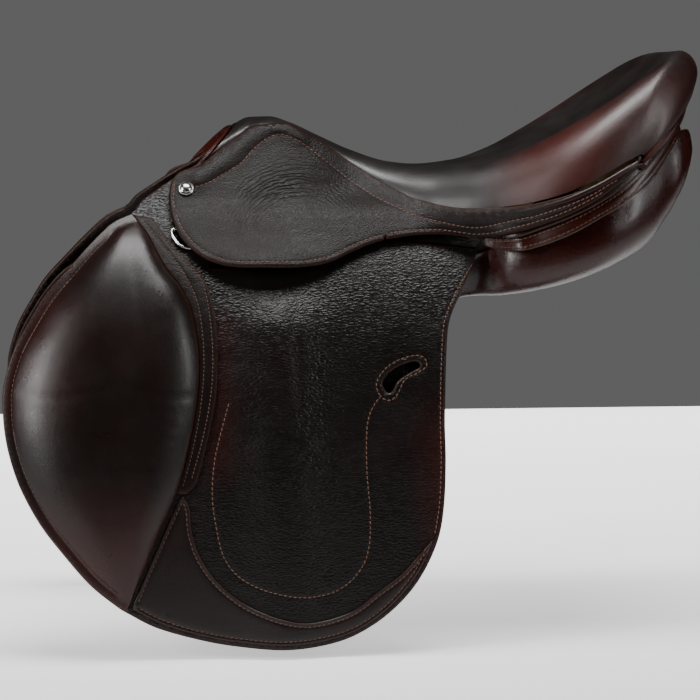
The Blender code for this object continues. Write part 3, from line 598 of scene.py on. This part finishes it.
def make_fibre(name, light, dark, rough, scale, stretch_by, strength, wave=False):
    """Wood, webbing, foam or thread: a two-tone procedural with a matching bump."""
    material, tree, shader = nodes_for(name)
    link = tree.links.new
    where = add(tree, "ShaderNodeTexCoord").outputs["Object"]
    stretch = add(tree, "ShaderNodeMapping")
    stretch.inputs["Scale"].default_value = stretch_by
    link(where, stretch.inputs["Vector"])
    if wave:
        one = add(tree, "ShaderNodeTexWave", Scale=scale, Distortion=0.4)
        two = add(tree, "ShaderNodeTexWave", Scale=scale, Distortion=0.4, bands_direction="Y")
        link(stretch.outputs["Vector"], one.inputs["Vector"])
        link(stretch.outputs["Vector"], two.inputs["Vector"])
        product = tree.nodes.new("ShaderNodeMath")
        product.operation = "MULTIPLY"
        link(one.outputs["Fac"], product.inputs[0])
        link(two.outputs["Fac"], product.inputs[1])
        value = product.outputs[0]
    else:
        noise = add(tree, "ShaderNodeTexNoise", Scale=scale, Detail=5.0, Roughness=0.6)
        link(stretch.outputs["Vector"], noise.inputs["Vector"])
        value = noise.outputs["Fac"]
    link(mix_colour(tree, value, dark, light), shader.inputs["Base Color"])
    link(ramp(tree, value, 0.0, 1.0, rough, rough + 0.1), shader.inputs["Roughness"])
    bump = add(tree, "ShaderNodeBump", Strength=strength, Distance=0.0006)
    link(value, bump.inputs["Height"])
    link(bump.outputs["Normal"], shader.inputs["Normal"])
    return material


CUT_EDGE = (0.034, 0.013, 0.008)
DARK = (0.0068, 0.0049, 0.0043)
WARM = (0.036, 0.0062, 0.0040)
GRAIN = make_leather("grained_leather", DARK, WARM, 0.34, 0.34, 0.0025, 0.28, 0.0, 0.35, False,
                     0.24)
SKIRT_HIDE = make_leather("skirt_leather", (0.0085, 0.0052, 0.0043), WARM, 0.38, 0.22, 0.0014, 0.20, 0.0,
                          0.7,
                          True, 0.15)
SMOOTH = make_leather("smooth_leather", (0.0090, 0.0050, 0.0042), WARM, 0.32, 0.12, 0.0010, 0.06, 0.15, 0.6)
SEAT_HIDE = make_leather("seat_leather", (0.0080, 0.0055, 0.0045), (0.062, 0.0078, 0.0044), 0.40, 0.14,
                         0.0010, 0.05,
                         0.15, 0.35, False, 0.62)
RED = make_leather("mahogany_leather", (0.012, 0.0055, 0.0045), (0.050, 0.0085, 0.0050), 0.27, 0.16, 0.0010,
                   0.10, 0.35,
                   0.6)
THREAD = make_fibre("linen_thread", (0.22, 0.105, 0.062), (0.10, 0.045, 0.028), 0.6, 1500.0, (1, 1, 1), 0.4)
THREAD_DARK = make_fibre("brown_thread", (0.13, 0.058, 0.038), (0.060, 0.026, 0.017), 0.6, 1500.0,
                         (1, 1, 1), 0.4)
STEEL = make_metal("polished_steel", (0.62, 0.61, 0.58), 0.22, 0.15)
SPRING = make_metal("spring_steel", (0.32, 0.33, 0.35), 0.35, 0.25)
WOOD = make_fibre("laminated_beech", (0.50, 0.33, 0.17), (0.30, 0.17, 0.08), 0.5, 60.0, (0.3, 0.3, 6.0),
                  0.3)
WEB = make_fibre("woven_webbing", (0.62, 0.57, 0.46), (0.30, 0.26, 0.20), 0.8, 900.0, (1, 1, 1), 0.6, True)
FOAM = make_fibre("seat_foam_skin", (0.75, 0.70, 0.55), (0.58, 0.52, 0.38), 0.9, 700.0, (1, 1, 1), 0.5)


# ------------------------------------------------------------------ the pieces of each side
def bow(x, z):
    """How far the flap stands out over the billets and the bar under it."""
    ridge = FLAP_SWELL * np.exp(-((x + 70) / 32) ** 2) * smooth((12 - z) / 40)
    crease = 1.1 * np.exp(-((x + 60 + 0.04 * z) / 3.2) ** 2) * smooth((-z - 2) / 16) * smooth((z + 95) / 40)
    return ridge - crease


def below_bend(line):
    return line[:, 1] < bend_z(line[:, 0])


def runs(line, keep):
    """The stretches of a line where keep is true."""
    mask = keep(line)
    out, first = [], None
    for i, good in enumerate(list(mask) + [False]):
        if good and first is None:
            first = i
        elif not good and first is not None:
            if i - first > 3:
                out.append(line[first:i])
            first = None
    return out


def disc(centre, radius, sides=24):
    t = np.linspace(0, 2 * math.pi, sides, endpoint=False)
    return np.stack([centre[0] + radius * np.cos(t), centre[1] + radius * np.sin(t)], 1)


def build_flap(side, word, place):
    body = f"flap_{word}"
    on_flap = lambda p, gap=0.0: -bow(p[:, 0], p[:, 1]) - gap
    edge = corners(FLAP_EDGE, 3.0)
    slot = catmull(SLOT, 1.5, True)
    band, contour, ring = catmull(BAND, 1.5), catmull(CONTOUR, 1.5), catmull(SLOT_RING, 1.5, True)
    rear_edge = catmull([(87, 24), (73, 4), (62, -18), (58, -43), (55, -94), (55, -129), (53, -163),
                         (49, -186)], 1.5)
    lines = [contour, ring, rear_edge]

    def warmth(x, y, z):
        behind_pad = np.exp(-((x + 121) / 14) ** 2) * smooth((-z + 5) / 40) * smooth((z + 160) / 40)
        rear = smooth((x - 22) / 40) * smooth((-z - 60) / 60)
        return 0.45 * behind_pad + 0.65 * rear

    flap = leather(f"flap_leather_{word}", place, edge, lambda p, d: on_flap(p),
                   lambda p, d: FLAP - 0.6 * bow(p[:, 0], p[:, 1]), 4.0, GRAIN, body, [slot], lines, warmth,
                   lambda p: distance(FRONT_SEAM, p))
    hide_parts(f"flap_{word}")
    for label, line in (("contour", contour), ("slot", ring), ("rear_edge", rear_edge)):
        made = stitches(f"flap_stitch_{label}_{word}", place, line, lambda p: on_flap(p, -0.25), THREAD,
                        body)

    # Knee pad: a stuffed roll along the front edge, with a crease where it meets the flap.
    front, rear = catmull(KNEE_FRONT, 2.5), catmull(KNEE_REAR, 2.5)
    outline = np.concatenate([front, rear[::-1][1:-1]])

    def pad(p, away):
        """A flat stitched border, then a dome that rolls down into the crease at its rear edge."""
        back, fore = distance(rear, p), np.maximum(distance(front, p) - 7, 0)
        share = fore / (fore + back + 1e-6)
        height = 15.5 * (1 - np.exp(-(fore + back) / 46))
        rise = 1 - (1 - np.minimum(share / 0.42, 1)) ** 2.1
        fall = 1 - 0.93 * np.maximum((share - 0.42) / 0.58, 0) ** 4.2
        swell = height * rise * fall
        across = 0.5 * np.exp(-((p[:, 1] + 76 + 3 * np.sin(p[:, 0] / 14)) / 2.2) ** 2)
        down = 0.45 * np.exp(-((p[:, 0] + 182 + 4 * np.sin(p[:, 1] / 30)) / 3.5) ** 2)
        down = down * smooth((p[:, 1] + 120) / 40)
        fan = 0.16 * np.sin((p[:, 1] + 0.25 * p[:, 0]) / 1.5 + 1.3 * np.sin(p[:, 0] / 9)) * np.exp(
            -((back - 22) / 14) ** 2) * (smooth((-20 - np.abs(p[:, 1] - 8)) / 18 + 1.6)
                                         + smooth(2 - np.abs(p[:, 1] + 118) / 16))
        return on_flap(p) - 2.3 - swell + (across + down + fan) * smooth(swell / 5)

    def edge_line():
        top = catmull([(-203, 45), (-218, 31), (-234, 13), (-249, -5), (-261, -23)], 1.5)
        low = catmull([(-261, -23), (-272.5, -44), (-280, -68), (-281, -88), (-279, -107), (-274, -127),
                       (-266, -147),
                       (-252, -171), (-236, -192), (-217, -214), (-201, -228)], 1.5)
        return np.concatenate([top[:-1], low])

    pad_stitch = edge_line()
    knee = leather(f"knee_pad_cover_{word}", place, outline, pad, lambda p, d: on_flap(p) - 0.5, 3.8,
                   SMOOTH, body,
                   [], [pad_stitch], lambda x, y,
                   z: 0.8 * smooth((-z - 130) / 80) + 0.55 * smooth((-205 - x) / 60)
                   * smooth((z + 130) / 60) + 0.3 * smooth((z - 5) / 40))
    strip_edge = np.concatenate([catmull(STRIP_RIGHT, 2.5), catmull(KNEE_REAR[:-3], 2.5)[::-1]])
    rows = [catmull(STRIP_ROW, 1.5), band]
    strip = leather(f"pad_strip_{word}", place, strip_edge, lambda p, d: on_flap(p, 2.3), lambda p,
                    d: on_flap(p, 0.3),
                    3.4, SKIRT_HIDE, body, [], rows)
    for label, line in zip(("pad_side", "flap_side"), rows):
        made = stitches(f"pad_strip_stitch_{label}_{word}", place, line, lambda p: on_flap(p, 2.05),
                        THREAD_DARK, body,
                        3.2, 2.3)
    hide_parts(f"knee_pad_{word}")
    made = stitches(f"knee_pad_stitch_{word}", place, pad_stitch,
                    lambda p: pad(p, distance(outline, p, True)) + 0.25, THREAD_DARK, body)

    # Cuff of smooth leather round the flap's lower edge.
    left, low, inner = catmull(CUFF_LEFT, 3), catmull(CUFF_LOW, 3), catmull(CUFF_IN, 3)
    outline = np.concatenate([left[:-1], low, inner[::-1][1:-1]])
    stitch_in, stitch_low = shift(catmull(CUFF_IN, 1.5), -3.0)[3:-3], shift(catmull(CUFF_LOW, 1.5),
                                                                            3.0)[3:-3]
    stitch_left = shift(catmull(CUFF_LEFT, 1.5), 3.0)[3:-3]
    kept = [line[inside(outline, line)] for line in (stitch_in, stitch_low, stitch_left)]
    cuff = leather(f"flap_cuff_leather_{word}", place, outline, lambda p, d: on_flap(p, 2.1),
                   lambda p, d: on_flap(p, 0.45), 4.6, SMOOTH, body, [], kept,
                   lambda x, y, z: 0.5 * smooth((x - 0) / 50))
    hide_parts(f"flap_cuff_{word}")
    for label, line in zip(("inner", "hem", "front"), kept):
        made = stitches(f"flap_cuff_stitch_{label}_{word}", place, line, lambda p: on_flap(p, 1.85),
                        THREAD_DARK, body)

    chape = corners([(-150, 60, 1), (-136, 58.6, 1), (-137, 53.4, 1), (-151, 54, 1)], 2)
    tab = leather(f"ring_chape_leather_{word}", place, chape, -2.9, -0.6, 2.5, GRAIN, body)
    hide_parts(f"d_ring_chape_{word}")
    loop = catmull([(-154, 50), (-134, 50), (-133, 40), (-139, 36), (-149, 39)], 1.5, True)
    ring = tube(f"front_ring_{word}", place(loop[:, 0] + 0.8, loop[:, 1], -2.2), 1.25, 12, STEEL,
                f"d_ring_{word}", True,
                up=(0, side, 0.3))
    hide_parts(f"d_ring_{word}")


def mark_arcs(obj):
    """Stores where the skirt's leather has crept into arcs over the stirrup bar, and how far out they are."""
    spots = np.array([v.co for v in obj.data.vertices]) / MM
    x, z = spots[:, 0] + 50, spots[:, 2] - 35
    reach, turn = np.hypot(x, z), np.arctan2(z, -x)
    strength = np.exp(-((reach - 54) / 15) ** 2) * np.exp(-((turn - 1.35) / 0.75) ** 2)
    for name, value in (("arc_reach", reach), ("arc_strength", strength)):
        obj.data.attributes.new(name, "FLOAT", "POINT").data.foreach_set("value", value.astype(np.float32))


def build_skirt(word, place):
    low = np.array([(-153.4, bend_z(-153.4))] + [p for p in SKIRT_LOW if p[1] < bend_z(p[0])])
    split = [(18, bend_z(18)), (-153.4, bend_z(-153.4))]
    seam = np.array([split[1], split[0]], float)
    not_seam = lambda p: distance(seam, p)
    roll_line = catmull([(-131, 87), (-118, 95), (-103, 105), (-90, 116.5), (-76, 126), (-62, 128),
                         (-48, 122)], 2)

    flare = lambda p: SKIRT_FLARE * np.exp(-((p[:, 0] + 78) / 42) ** 2) * smooth((46 - p[:, 1]) / 30)

    def lift(p):
        """Outward shape of the skirt: a lifted lip, and a soft roll beside the welt."""
        return flare(p) + 2.6 * np.exp(-(distance(roll_line, p) / 7.5) ** 2)

    outer = lambda p, d: SKIRT_OUTER - lift(p) * smooth(d / 2.5 + 0.999 * (p[:, 1] < 62))
    inner = lambda p, d: SKIRT_INNER - 0.9 * flare(p)
    lower = catmull([tuple(p) for p in low], 2.5)
    bend = np.stack([np.linspace(18, -153.4, 60), bend_z(np.linspace(18, -153.4, 60))], 1)
    lobe_edge = np.concatenate([lower[:-1], bend[:-1]])
    line_a, line_b = catmull(SKIRT_A, 1.5), catmull(SKIRT_B, 1.5)
    far = lambda line: distance(seam, line) > 1.2
    b_low = runs(line_b, lambda p: below_bend(p) & far(p))
    b_up = runs(line_b, lambda p: ~below_bend(p) & far(p))
    lobe = leather(f"skirt_flap_leather_{word}", place, lobe_edge, outer, inner, 3.2, SKIRT_HIDE,
                   f"skirt_lobe_{word}", [], b_low, None, not_seam)
    mark_arcs(lobe)
    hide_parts(f"skirt_lobe_{word}")

    # The upper skirt runs up under the seat's piping.
    s = np.linspace(0.0, 0.965, 110)
    welt = np.stack([along(STATION, WELT_X, s), along(STATION, WELT_Z, s) - 1.5 - 4
                     * smooth((s - 0.72) / 0.2)], 1)
    front = catmull([(-153.4, bend_z(-153.4)), (-155, 70), (-153, 84), (-146, 93), tuple(welt[0])], 2.5)
    tail = catmull([tuple(welt[-1]), (222, 98), (216, 99)], 2.5)
    rear = catmull([tuple(p) for p in reversed(SKIRT_REAR)], 2.5)
    upper_edge = np.concatenate([front[:-1], welt[:-1], tail[:-1], rear, bend[:-1]])
    upper = leather(f"skirt_leather_{word}", place, upper_edge, outer, inner, 3.2, SKIRT_HIDE, "saddle", [],
                    [line_a] + b_up, lambda x, y, z: 0.30 * smooth((x - 120) / 70), not_seam)
    mark_arcs(upper)
    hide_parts(f"skirt_{word}")
    for n, (line, body) in enumerate([(line_a, "saddle")] + [(p, "saddle") for p in b_up]
                                     + [(p, f"skirt_lobe_{word}") for p in b_low]):
        made = stitches(f"skirt_stitch_{n}_{word}", place, line,
                        lambda p: outer(p, np.full(len(p), 3.0)) + 0.25, THREAD, body)

    apron = leather(f"front_apron_leather_{word}", place, corners(APRON, 3), 0, FLAP, 4, GRAIN, "saddle",
                    square=lambda p: distance(FRONT_SEAM, p))
    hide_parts(f"front_apron_{word}")

    # Stud: a domed steel head in a rolled rim.
    base = place(np.array([-141.0]), np.array([79.0]), SKIRT_OUTER - 0.3)[0]
    tip = place(np.array([-141.0]), np.array([79.0]), SKIRT_OUTER - 5)[0]
    out = (tip - base) / np.linalg.norm(tip - base)
    wide = np.cross(out, (0, 0, 1))
    wide /= np.linalg.norm(wide)
    high = np.cross(wide, out)
    profile = ((0.01, -0.2), (6.0, -0.2), (6.5, 0.3), (6.5, 0.9), (6.1, 1.5), (5.6, 1.7), (5.3, 1.3),
               (5.0, 1.4),
               (4.5, 2.2), (3.6, 2.9), (2.4, 3.5), (1.2, 3.75), (0.01, 3.8))
    t = np.linspace(0, 2 * math.pi, 32, endpoint=False)
    verts = np.concatenate([base + out * h + r * (np.cos(t)[:, None] * wide + np.sin(t)[:, None] * high)
                            for r, h in profile])
    stud = finish(f"stud_head_{word}", verts, ring_faces(len(profile), len(t)), STEEL, "saddle")
    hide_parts(f"skirt_stud_{word}")


PANEL_STATIONS = ((-170, 44, 74, 72, 40, 8), (-152, 34, 86, 86, 16, 18), (-118, 30, 88, 97, 0, 21),
                  (-86, 29, 86, 98, -2, 22), (-40, 30, 70, 98, -2, 23), (0, 34, 54, 98, -2, 24),
                  (40, 36, 42, 98, -2, 26), (62, 36, 41, 100, 6, 30), (80, 36, 41, 96, 24, 35),
                  (97, 36, 41, 98, 33, 39), (114, 36, 42, 118, 39, 42), (137, 36, 44, 129, 45, 43),
                  (162, 36, 48, 135, 55, 45), (187, 37, 56, 136, 67, 47), (211, 38, 66, 129, 80, 48),
                  (236, 38, 82, 112, 100, 51), (252, 41, 102, 96, 120, 51), (262, 46, 114, 86, 131, 46),
                  (269, 52, 118, 80, 132, 33), (273, 58, 115, 74, 127, 17))
PANEL_PROFILE = ((0, .1), (.04, 0), (.5, 0), (.96, 0), (1, .1), (1.02, .5), (.96, .85), (.78, 1),
                 (.5, 1.04),
                 (.22, 1), (.04, .85), (-.02, .5))


def panel_rings(side, count, around):
    table = np.array(PANEL_STATIONS, float)
    xs = np.linspace(table[0, 0], table[-1, 0], count)
    xs = table[0, 0] + (table[-1, 0] - table[0, 0]) * (0.5 - 0.5
                                                       * np.cos(np.linspace(0, math.pi, count))) * 0.5 + (
        xs - table[0, 0]) * 0.5
    rows = [along(table[:, 0], table[:, k], xs) for k in range(1, 6)]
    profile = catmull(PANEL_PROFILE, 0.01, True)
    at = np.linspace(0, len(profile), around, endpoint=False).astype(int)
    profile = profile[at]
    rings = []
    for x, in_half, in_z, out_half, out_z, thick in zip(xs, *rows):
        a, b = np.array([in_half, in_z]), np.array([out_half, out_z])
        down = np.array([b[1] - a[1], a[0] - b[0]])
        down /= np.linalg.norm(down)
        spots = a + (b - a) * profile[:, :1] + down * thick * profile[:, 1:]
        rings.append(np.stack([np.full(len(spots), x), side * spots[:, 0], spots[:, 1]], 1))
    return np.array(rings)


def build_under(side, word, place):
    rings = panel_rings(side, 90, 64)
    count, n = rings.shape[:2]
    panel = finish(f"panel_cushion_{word}", rings.reshape(-1, 3), ring_faces(count, n), PANEL_HIDE,
                   "saddle",
                   lambda x, y, z: smooth((x - 60) / 60))
    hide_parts(f"panel_{word}")

    upper, lower = catmull(FACING_UP, 2.5), catmull(FACING_LOW, 2.5)
    outline = np.concatenate([upper, lower[::-1]])
    lines = [shift(catmull(FACING_UP, 1.5), -2.6)[4:-6], shift(catmull(FACING_LOW, 1.5), 2.6)[8:-6]]
    lines = [line[inside(outline, line) & (distance(outline, line, True) > 1.4)] for line in lines]
    facing = leather(f"rear_facing_leather_{word}", place, outline, 0.2, 2.6, 3.2, RED, "saddle", [], lines,
                     lambda x, y, z: 0.8 + 0 * x)
    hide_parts(f"rear_facing_{word}")
    for label, line in zip(("upper", "lower"), lines):
        made = stitches(f"facing_stitch_{label}_{word}", place, line, 0.45, THREAD, "saddle")

    gusset = leather(f"rear_gusset_{word}", place, catmull(GUSSET, 3, True), -3.6, -0.6, 4, SMOOTH,
                     "saddle",
                     warm=lambda x, y, z: 0.35 + 0 * x)

    # Sweat flap: the flap's own outline a little proud of it at the front and the hem.
    sweat = [(-200, 44, 1), (-237, 21), (-256, 1), (-268, -17), (-281, -41), (-289, -67), (-290, -88),
             (-288, -110),
             (-283, -131), (-275, -152), (-261, -177), (-244, -200), (-224, -223), (-205, -238),
             (-193, -246),
             (-172, -257), (-144, -266), (-110, -273), (-66, -276), (-26, -271), (1, -258), (24, -239),
             (41, -217),
             (53, -190), (58, -164), (60, -129), (60, -94), (58, -60), (56, -30), (56, 18, 1), (-20, 15),
             (-125, 14),
             (-150, 22), (-175, 40)]
    outline = corners(sweat, 3.5)
    stitch = shift(outline, 4.0 if shoelace(outline) > 0 else -4.0, True)
    stitch = stitch[stitch[:, 1] < -20]
    piece = leather(f"sweat_flap_leather_{word}", place, outline, SWEAT[0], SWEAT[1], 6.5, GRAIN, "saddle")
    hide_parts(f"sweat_flap_{word}")
    made = stitches(f"sweat_flap_stitch_{word}", place, stitch, SWEAT[0] - 0.1, THREAD_DARK, "saddle", 5.0)

    block = corners([(-196, 18), (-226, -8), (-244, -50), (-246, -100), (-232, -128), (-214, -122),
                     (-206, -80),
                     (-196, -30)], 3)
    swell = lambda p, d: BLOCK[1] - 3 - (BLOCK[1] - BLOCK[0] - 3) * smooth(d / 10)
    made = leather(f"knee_block_cover_{word}", place, block, swell, BLOCK[1], 4, SMOOTH, "saddle")
    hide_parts(f"knee_block_{word}")

    for x, which in zip((-57.0, -19.0, 19.0), ("front", "middle", "rear")):
        w = 12.5
        strap = corners([(x - w, 27, 1), (x + w, 27, 1), (x + w, -208, 1), (x + 4, -222, 1),
                         (x - 4, -222, 1),
                         (x - w, -208, 1)], 4)
        holes = [disc((x, -192 + 24 * k), 2.3, 18) for k in range(5)]
        edges = [np.stack([np.full(140, x + o), np.linspace(22, -200, 140)], 1) for o in (-9.5, 9.5)]
        made = leather(f"billet_{which}_leather_{word}", place, strap, 9.2, 12.2, 5, GRAIN,
                       f"billet_{which}_{word}",
                       holes, edges)
        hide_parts(f"billet_{which}_{word}")
        for label, line in zip(("a", "b"), edges):
            thread = stitches(f"billet_{which}_stitch_{label}_{word}", place, line, 9.4, THREAD_DARK,
                              f"billet_{which}_{word}")


def shoelace(loop):
    return np.sum(loop[:, 0] * np.roll(loop[:, 1], -1) - np.roll(loop[:, 0], -1) * loop[:, 1]) / 2


# ------------------------------------------------------------------ seat and its ends
def build_seat():
    def seat_warmth(x, y, z):
        flank = smooth((x - 80) / 60) * smooth((y - 78) / 45) * (1 - 0.5 * smooth((x - 165) / 45))
        rear = 0.45 * smooth((x - 250) / 35) * smooth((y - 30) / 50)
        front = 0.6 * smooth((-100 - x) / 22)
        return 0.95 * flank + rear + front

    cover = shell("seat_leather", seat, np.linspace(0, 1, 190), np.linspace(-.985, .985, 150), 0, 3.4,
                  SEAT_HIDE,
                  "saddle", seat_warmth)
    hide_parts("seat_cover")
    foam_depth = lambda s, q: 5.1 + 13 * (1 - 0.6 * np.abs(q) ** 2) * smooth(s / 0.3 + 0.45)
    foam = shell("seat_foam_pad", seat, np.linspace(.16, .87, 60), np.linspace(-.72, .72, 50), 5.1,
                 foam_depth, FOAM,
                 "saddle")
    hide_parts("seat_foam")

    def pommel(t, q):
        t, q = np.broadcast_arrays(t, q)
        top = seat_point(0, q) + np.array((-4, 0, -5))
        low = stack(-97 - 34 * (1 - np.cos(q * math.pi / 2)), top[..., 1] * 0.84, top[..., 2] - 13)
        return top + (low - top) * t[..., None]

    front = shell("pommel_leather", surface(pommel, (-1, 0, 0)), np.linspace(-.25, 1, 16),
                  np.linspace(-.87, .87, 70),
                  lambda t, q: -1.4 - 1.2 * np.sin(np.clip(t, 0, 1) * math.pi), 1.2, RED, "saddle",
                  lambda x, y, z: 0.9 + 0 * x)
    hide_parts("pommel_facing")

    def back(t, q):
        t, q = np.broadcast_arrays(t, q)
        round_rear = np.cos(q * math.pi / 2)
        top = seat_point(1, q) + np.array((-6, 0, -7.5))
        low = stack(222 + 44 * round_rear, top[..., 1] * 0.82, 106 + 28 * round_rear)
        return top + (low - top) * t[..., None]

    rear = shell("cantle_leather", surface(back, (1, 0, -0.3)), np.linspace(-.2, 1.08, 20),
                 np.linspace(-.94, .94, 90), lambda t, q: -1.7 - 3.0 * np.sin(np.clip(t, 0, 1) * math.pi),
                 1.5, RED,
                 "saddle", lambda x, y, z: 0.9 + 0 * x)
    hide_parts("cantle_back")
    for side, word in SIDES:
        s = np.linspace(0.0, 0.93, 260)
        path = seat_point(s, float(side)) + np.array((0, side * 2.6, -3.4))
        cord = tube(f"seat_welt_{word}", path, 2.3, 12, SMOOTH, "saddle", warm=lambda x, y, z: 0.6 * smooth(
            (x - 40) / 120), up=(0, 0, 1))
        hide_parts(f"seat_piping_{word}")


PANEL_HIDE = make_leather("panel_leather", (0.0085, 0.0050, 0.0042), (0.034, 0.0060, 0.0042), 0.24, 0.16,
                          0.0010, 0.16,
                          0.40, 0.7)
build_seat()
for near, called in SIDES:
    drape_place = drape(near)
    build_flap(near, called, drape_place)
    build_skirt(called, drape_place)
    build_under(near, called, drape_place)

# The hidden structure keeps its CAD shapes, in its real materials.
CAD_LOOKS = {"tree_frame": WOOD, "gullet_plate": SPRING, "head_plate": SPRING, "seat_web_long": WEB,
             "seat_web_cross": WEB}
for _, called in SIDES:
    CAD_LOOKS.update({f"spring_strip_{called}": SPRING, f"flap_top_{called}": GRAIN,
                      f"billet_web_{called}": WEB,
                      f"billet_guard_{called}": GRAIN, f"stirrup_bar_{called}": STEEL,
                      f"bar_catch_{called}": STEEL})
for name, look in CAD_LOOKS.items():
    NODES[name].data.materials.clear()
    NODES[name].data.materials.append(look)

# ------------------------------------------------------------------ stage, light and camera
low_corner, high_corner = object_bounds()

# One flat sheet of pale paper, a little below the saddle, that brightens with its depth.
PAPER_GLOW = 2.3
PAPER_DEPTHS = (-0.9, -0.2, 1.6)
PAPER_HALF = 8.0
PAPER_DROP = 0.004
base_z = low_corner.z - PAPER_DROP
paper_mesh = bpy.data.meshes.new("floor")
paper_mesh.from_pydata([(x, y, base_z) for y in PAPER_DEPTHS for x in (-PAPER_HALF, PAPER_HALF)], [],
                       [(2 * i, 2 * i + 1, 2 * i + 3, 2 * i + 2) for i in range(len(PAPER_DEPTHS) - 1)])
paper_mesh.polygons.foreach_set("use_smooth", [True] * len(paper_mesh.polygons))
floor = bpy.data.objects.new("floor", paper_mesh)
bpy.context.scene.collection.objects.link(floor)
paper, paper_tree, paper_shader = nodes_for("studio_paper")
paper_shader.inputs["Base Color"].default_value = (0.88, 0.88, 0.88, 1)
paper_shader.inputs["Roughness"].default_value = 0.9
paper_shader.inputs["Emission Color"].default_value = (1, 1, 1, 1)
depth_of = add(paper_tree, "ShaderNodeSeparateXYZ")
paper_tree.links.new(add(paper_tree, "ShaderNodeTexCoord").outputs["Object"], depth_of.inputs[0])
# The paper's own glow is only what the camera sees of it, so it puts no haze on the leather.
seen = paper_tree.nodes.new("ShaderNodeMath")
seen.operation = "MULTIPLY"
paper_tree.links.new(ramp(paper_tree, depth_of.outputs["Y"], -0.4, 1.4, 0.5, PAPER_GLOW), seen.inputs[0])
paper_tree.links.new(add(paper_tree, "ShaderNodeLightPath").outputs["Is Camera Ray"], seen.inputs[1])
paper_tree.links.new(seen.outputs[0], paper_shader.inputs["Emission Strength"])
paper_mesh.materials.append(paper)

# The sky lights the saddle from above, and is an even grey behind it.
world = bpy.data.worlds.new("studio")
world.use_nodes = True
sky = world.node_tree
facing = add(sky, "ShaderNodeTexCoord").outputs["Generated"]
height = sky.nodes.new("ShaderNodeSeparateXYZ")
sky.links.new(facing, height.inputs[0])
choose = sky.nodes.new("ShaderNodeMix")
sky.links.new(add(sky, "ShaderNodeLightPath").outputs["Is Camera Ray"], choose.inputs["Factor"])
sky.links.new(ramp(sky, height.outputs["Z"], 0.1, 0.95, 0.045, 0.32), choose.inputs["A"])
choose.inputs["B"].default_value = PAPER_GLOW + 0.1
sky.links.new(choose.outputs["Result"], sky.nodes["Background"].inputs["Strength"])
bpy.context.scene.world = world


def softbox(name, spot, size, power, aim=(0, 0, 0)):
    lamp = bpy.data.lights.new(name, "AREA")
    lamp.shape, lamp.size, lamp.size_y, lamp.energy = "RECTANGLE", size[0], size[1], power
    obj = bpy.data.objects.new(name, lamp)
    obj.location = spot
    obj.rotation_euler = (Vector(aim) - Vector(spot)).to_track_quat("-Z", "Y").to_euler()
    bpy.context.scene.collection.objects.link(obj)


softbox("top_box", (0.0, -0.25, 1.7), (1.3, 0.7), 41)
softbox("left_box", (-1.9, -1.0, 0.7), (0.45, 1.2), 30)
softbox("right_box", (1.8, -1.3, 0.9), (0.45, 1.1), 14)

camera = bpy.data.cameras.new("camera")
camera.lens, camera.sensor_width = 146.6, 36
view = bpy.data.objects.new("camera", camera)
view.location = (-0.2499, -2.3778, 0.1545)
view.rotation_euler = (Vector((0, 0, -0.0547)) - view.location).to_track_quat("-Z", "Y").to_euler()
bpy.context.scene.collection.objects.link(view)
bpy.context.scene.camera = view
